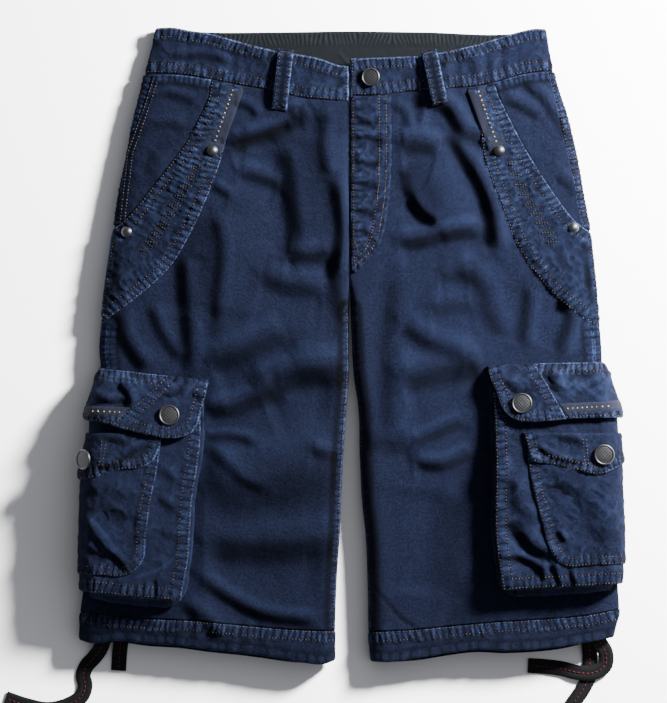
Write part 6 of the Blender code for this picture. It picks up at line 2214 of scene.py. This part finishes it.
# ------------------------------------------------------------------ drawtapes
@dataclass
class Drawtape:
    """A flat woven tape that comes out of a hem and ends free on the ground."""

    name: str
    route: list[tuple[float, float, float]]
    room: Workroom

    def build(self) -> bpy.types.Object:
        """A ribbon of the stated width along a smooth curve, closed all round, with small waves."""
        route = np.array(self.route, float)
        runs = distances(route)
        stations = np.linspace(0, runs[-1], int(runs[-1] / 1.4))
        x, down, z = (Curve(runs, axis)(stations) for axis in route.T)
        z = np.maximum(z, TAPE_LEVEL)
        run = np.stack([np.gradient(x), np.gradient(down)], axis=-1)
        run /= np.linalg.norm(run, axis=1, keepdims=True)
        half = TAPE_WIDTH / 2
        across = np.array([-1, -0.94, -0.6, -0.2, 0.2, 0.6, 0.94, 1, 0.94, 0.6, 0.2, -0.2, -0.6, -0.94])
        level = np.array([0, 1, 1, 1, 1, 1, 1, 0, -1, -1, -1, -1, -1, -1]) * TAPE_WALL / 2
        wave = 0.25 * MEDIUM(stations[:, None] / 9, across[None, :] * 2 + len(self.name))
        points = stacked(x[:, None] - run[:, 1:] * across * half, down[:, None] + run[:, :1] * across * half,
                         z[:, None] + level + wave * (level > 0))
        rows, count = len(stations), len(across)
        first, last = list(range(count)), list(range((rows - 1) * count, rows * count))
        faces = [*grid_faces(rows, count, closed=True).tolist(), first[::-1], last]
        if self.clockwise(points):
            faces = [face[::-1] for face in faces]
        uv = np.stack(np.broadcast_arrays(np.abs(across) * half, stations[:, None]), axis=-1)
        piece = add_piece(self.name + "_weave", points.reshape(-1, 3), faces, DRAWTAPE, {},
                          uv.reshape(-1, 2) * MM)
        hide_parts(self.name)
        path = stacked(x, down, z)
        self.dash(path)
        return piece

    @staticmethod
    def clockwise(points: Array) -> bool:
        """True where the ring of points turns so that its quads face inwards."""
        ring = points[len(points) // 2]
        centre = ring.mean(axis=0)
        ahead = points[len(points) // 2 + 1].mean(axis=0) - centre
        return float(np.dot(np.cross(ring[1] - centre, ring[2] - centre), ahead)) > 0

    def dash(self, path: Array) -> None:
        """Red dashes along the middle of the upper side."""
        runs = distances(path)
        along = np.arange(14.0, runs[-1] - 4, 4.6)
        above = (0, 0, TAPE_WALL / 2 + 0.3)
        start, end = (np.column_stack([np.interp(along + shift, runs, axis) for axis in path.T]) + above
                      for shift in (-1.4, 1.4))
        self.room.red.add(start, end)


# ------------------------------------------------------------------ light, floor and camera
def build_camera() -> None:
    """Straight down over the photo's centre, so that a pixel is a millimetre on the front."""
    camera = bpy.data.cameras.new("camera")
    camera.sensor_width = CAMERA_SENSOR
    camera.lens = CAMERA_SENSOR * (CAMERA_PLACE[2] - FRONT_LEVEL) / VIEW_TALL
    camera.clip_end = 20.0
    holder = bpy.data.objects.new("camera", camera)
    holder.location = CAMERA_PLACE
    bpy.context.scene.collection.objects.link(holder)
    bpy.context.scene.camera = holder


def build_stage() -> None:
    """A white floor under hard light from the upper right, with a white sky as fill."""
    floor = bpy.data.meshes.new("floor")
    corners = ((-1, -1), (1, -1), (1, 1), (-1, 1))
    floor.from_pydata([(x * FLOOR_REACH, y * FLOOR_REACH, -FLOOR_DROP) for x, y in corners], [],
                      [(0, 1, 2, 3)])
    graph = Graph("floor_white", Base_Color=(0.84, 0.845, 0.86, 1), Roughness=1.0, Specular_IOR_Level=0.0)
    tilt = graph.add("ShaderNodeCombineXYZ", {}, dict(enumerate(Vector(FLOOR_FACING).normalized())))
    graph.put(graph.shader.inputs["Normal"], tilt)
    floor.materials.append(graph.material)
    ground = bpy.data.objects.new("floor", floor)
    bpy.context.scene.collection.objects.link(ground)
    lamp = bpy.data.lights.new("key", "POINT")
    lamp.energy = KEY_IRRADIANCE * 4 * math.pi * KEY_DISTANCE**2
    lamp.shadow_soft_size = KEY_RADIUS
    lamp.color = (1.0, 0.985, 0.965)
    key = bpy.data.objects.new("key", lamp)
    key.location = Vector(KEY_DIRECTION).normalized() * KEY_DISTANCE
    bpy.context.scene.collection.objects.link(key)
    world = bpy.data.worlds.new("studio")
    world.use_nodes = True
    background = world.node_tree.nodes["Background"]
    background.inputs["Color"].default_value = (0.93, 0.95, 1.0, 1)
    background.inputs["Strength"].default_value = SKY
    bpy.context.scene.world = world


def main() -> None:
    """Builds camera, tapes, cloth, metal, thread and the stage."""
    logging.basicConfig(level=logging.INFO, format="%(message)s")
    build_camera()
    room = Workroom(Stitcher("sewing_thread", SEWING), Stitcher("embroidery_thread", EMBROIDERY),
                    Stitcher("decoration_thread", DECORATION), Stitcher("red_thread", RED_THREAD))
    for name, route in TAPE_ROUTES.items():
        Drawtape(name, route, room).build()
    legs = {side: Leg(side, LegForm(side), room) for side in Side}
    pockets = {}
    for side, leg in legs.items():
        leg.build_panels()
        leg.build_hem()
        leg.build_hip_pocket()
        leg.build_belt_loop()
        bag = BagForm(leg.form)
        pockets[side] = CargoPocket(leg, bag, FlapForm(bag), room)
        pockets[side].build_face()
        pockets[side].build_gusset()
        pockets[side].build_flap()
        pockets[side].build_patch()
    waist = Waist(legs, room)
    waist.build_fronts()
    waist.build_back()
    waist.build_facing()
    waist.build_fly()
    Fittings(legs, pockets).build()
    room.finish()
    build_stage()


if __name__ == "__main__":
    main()
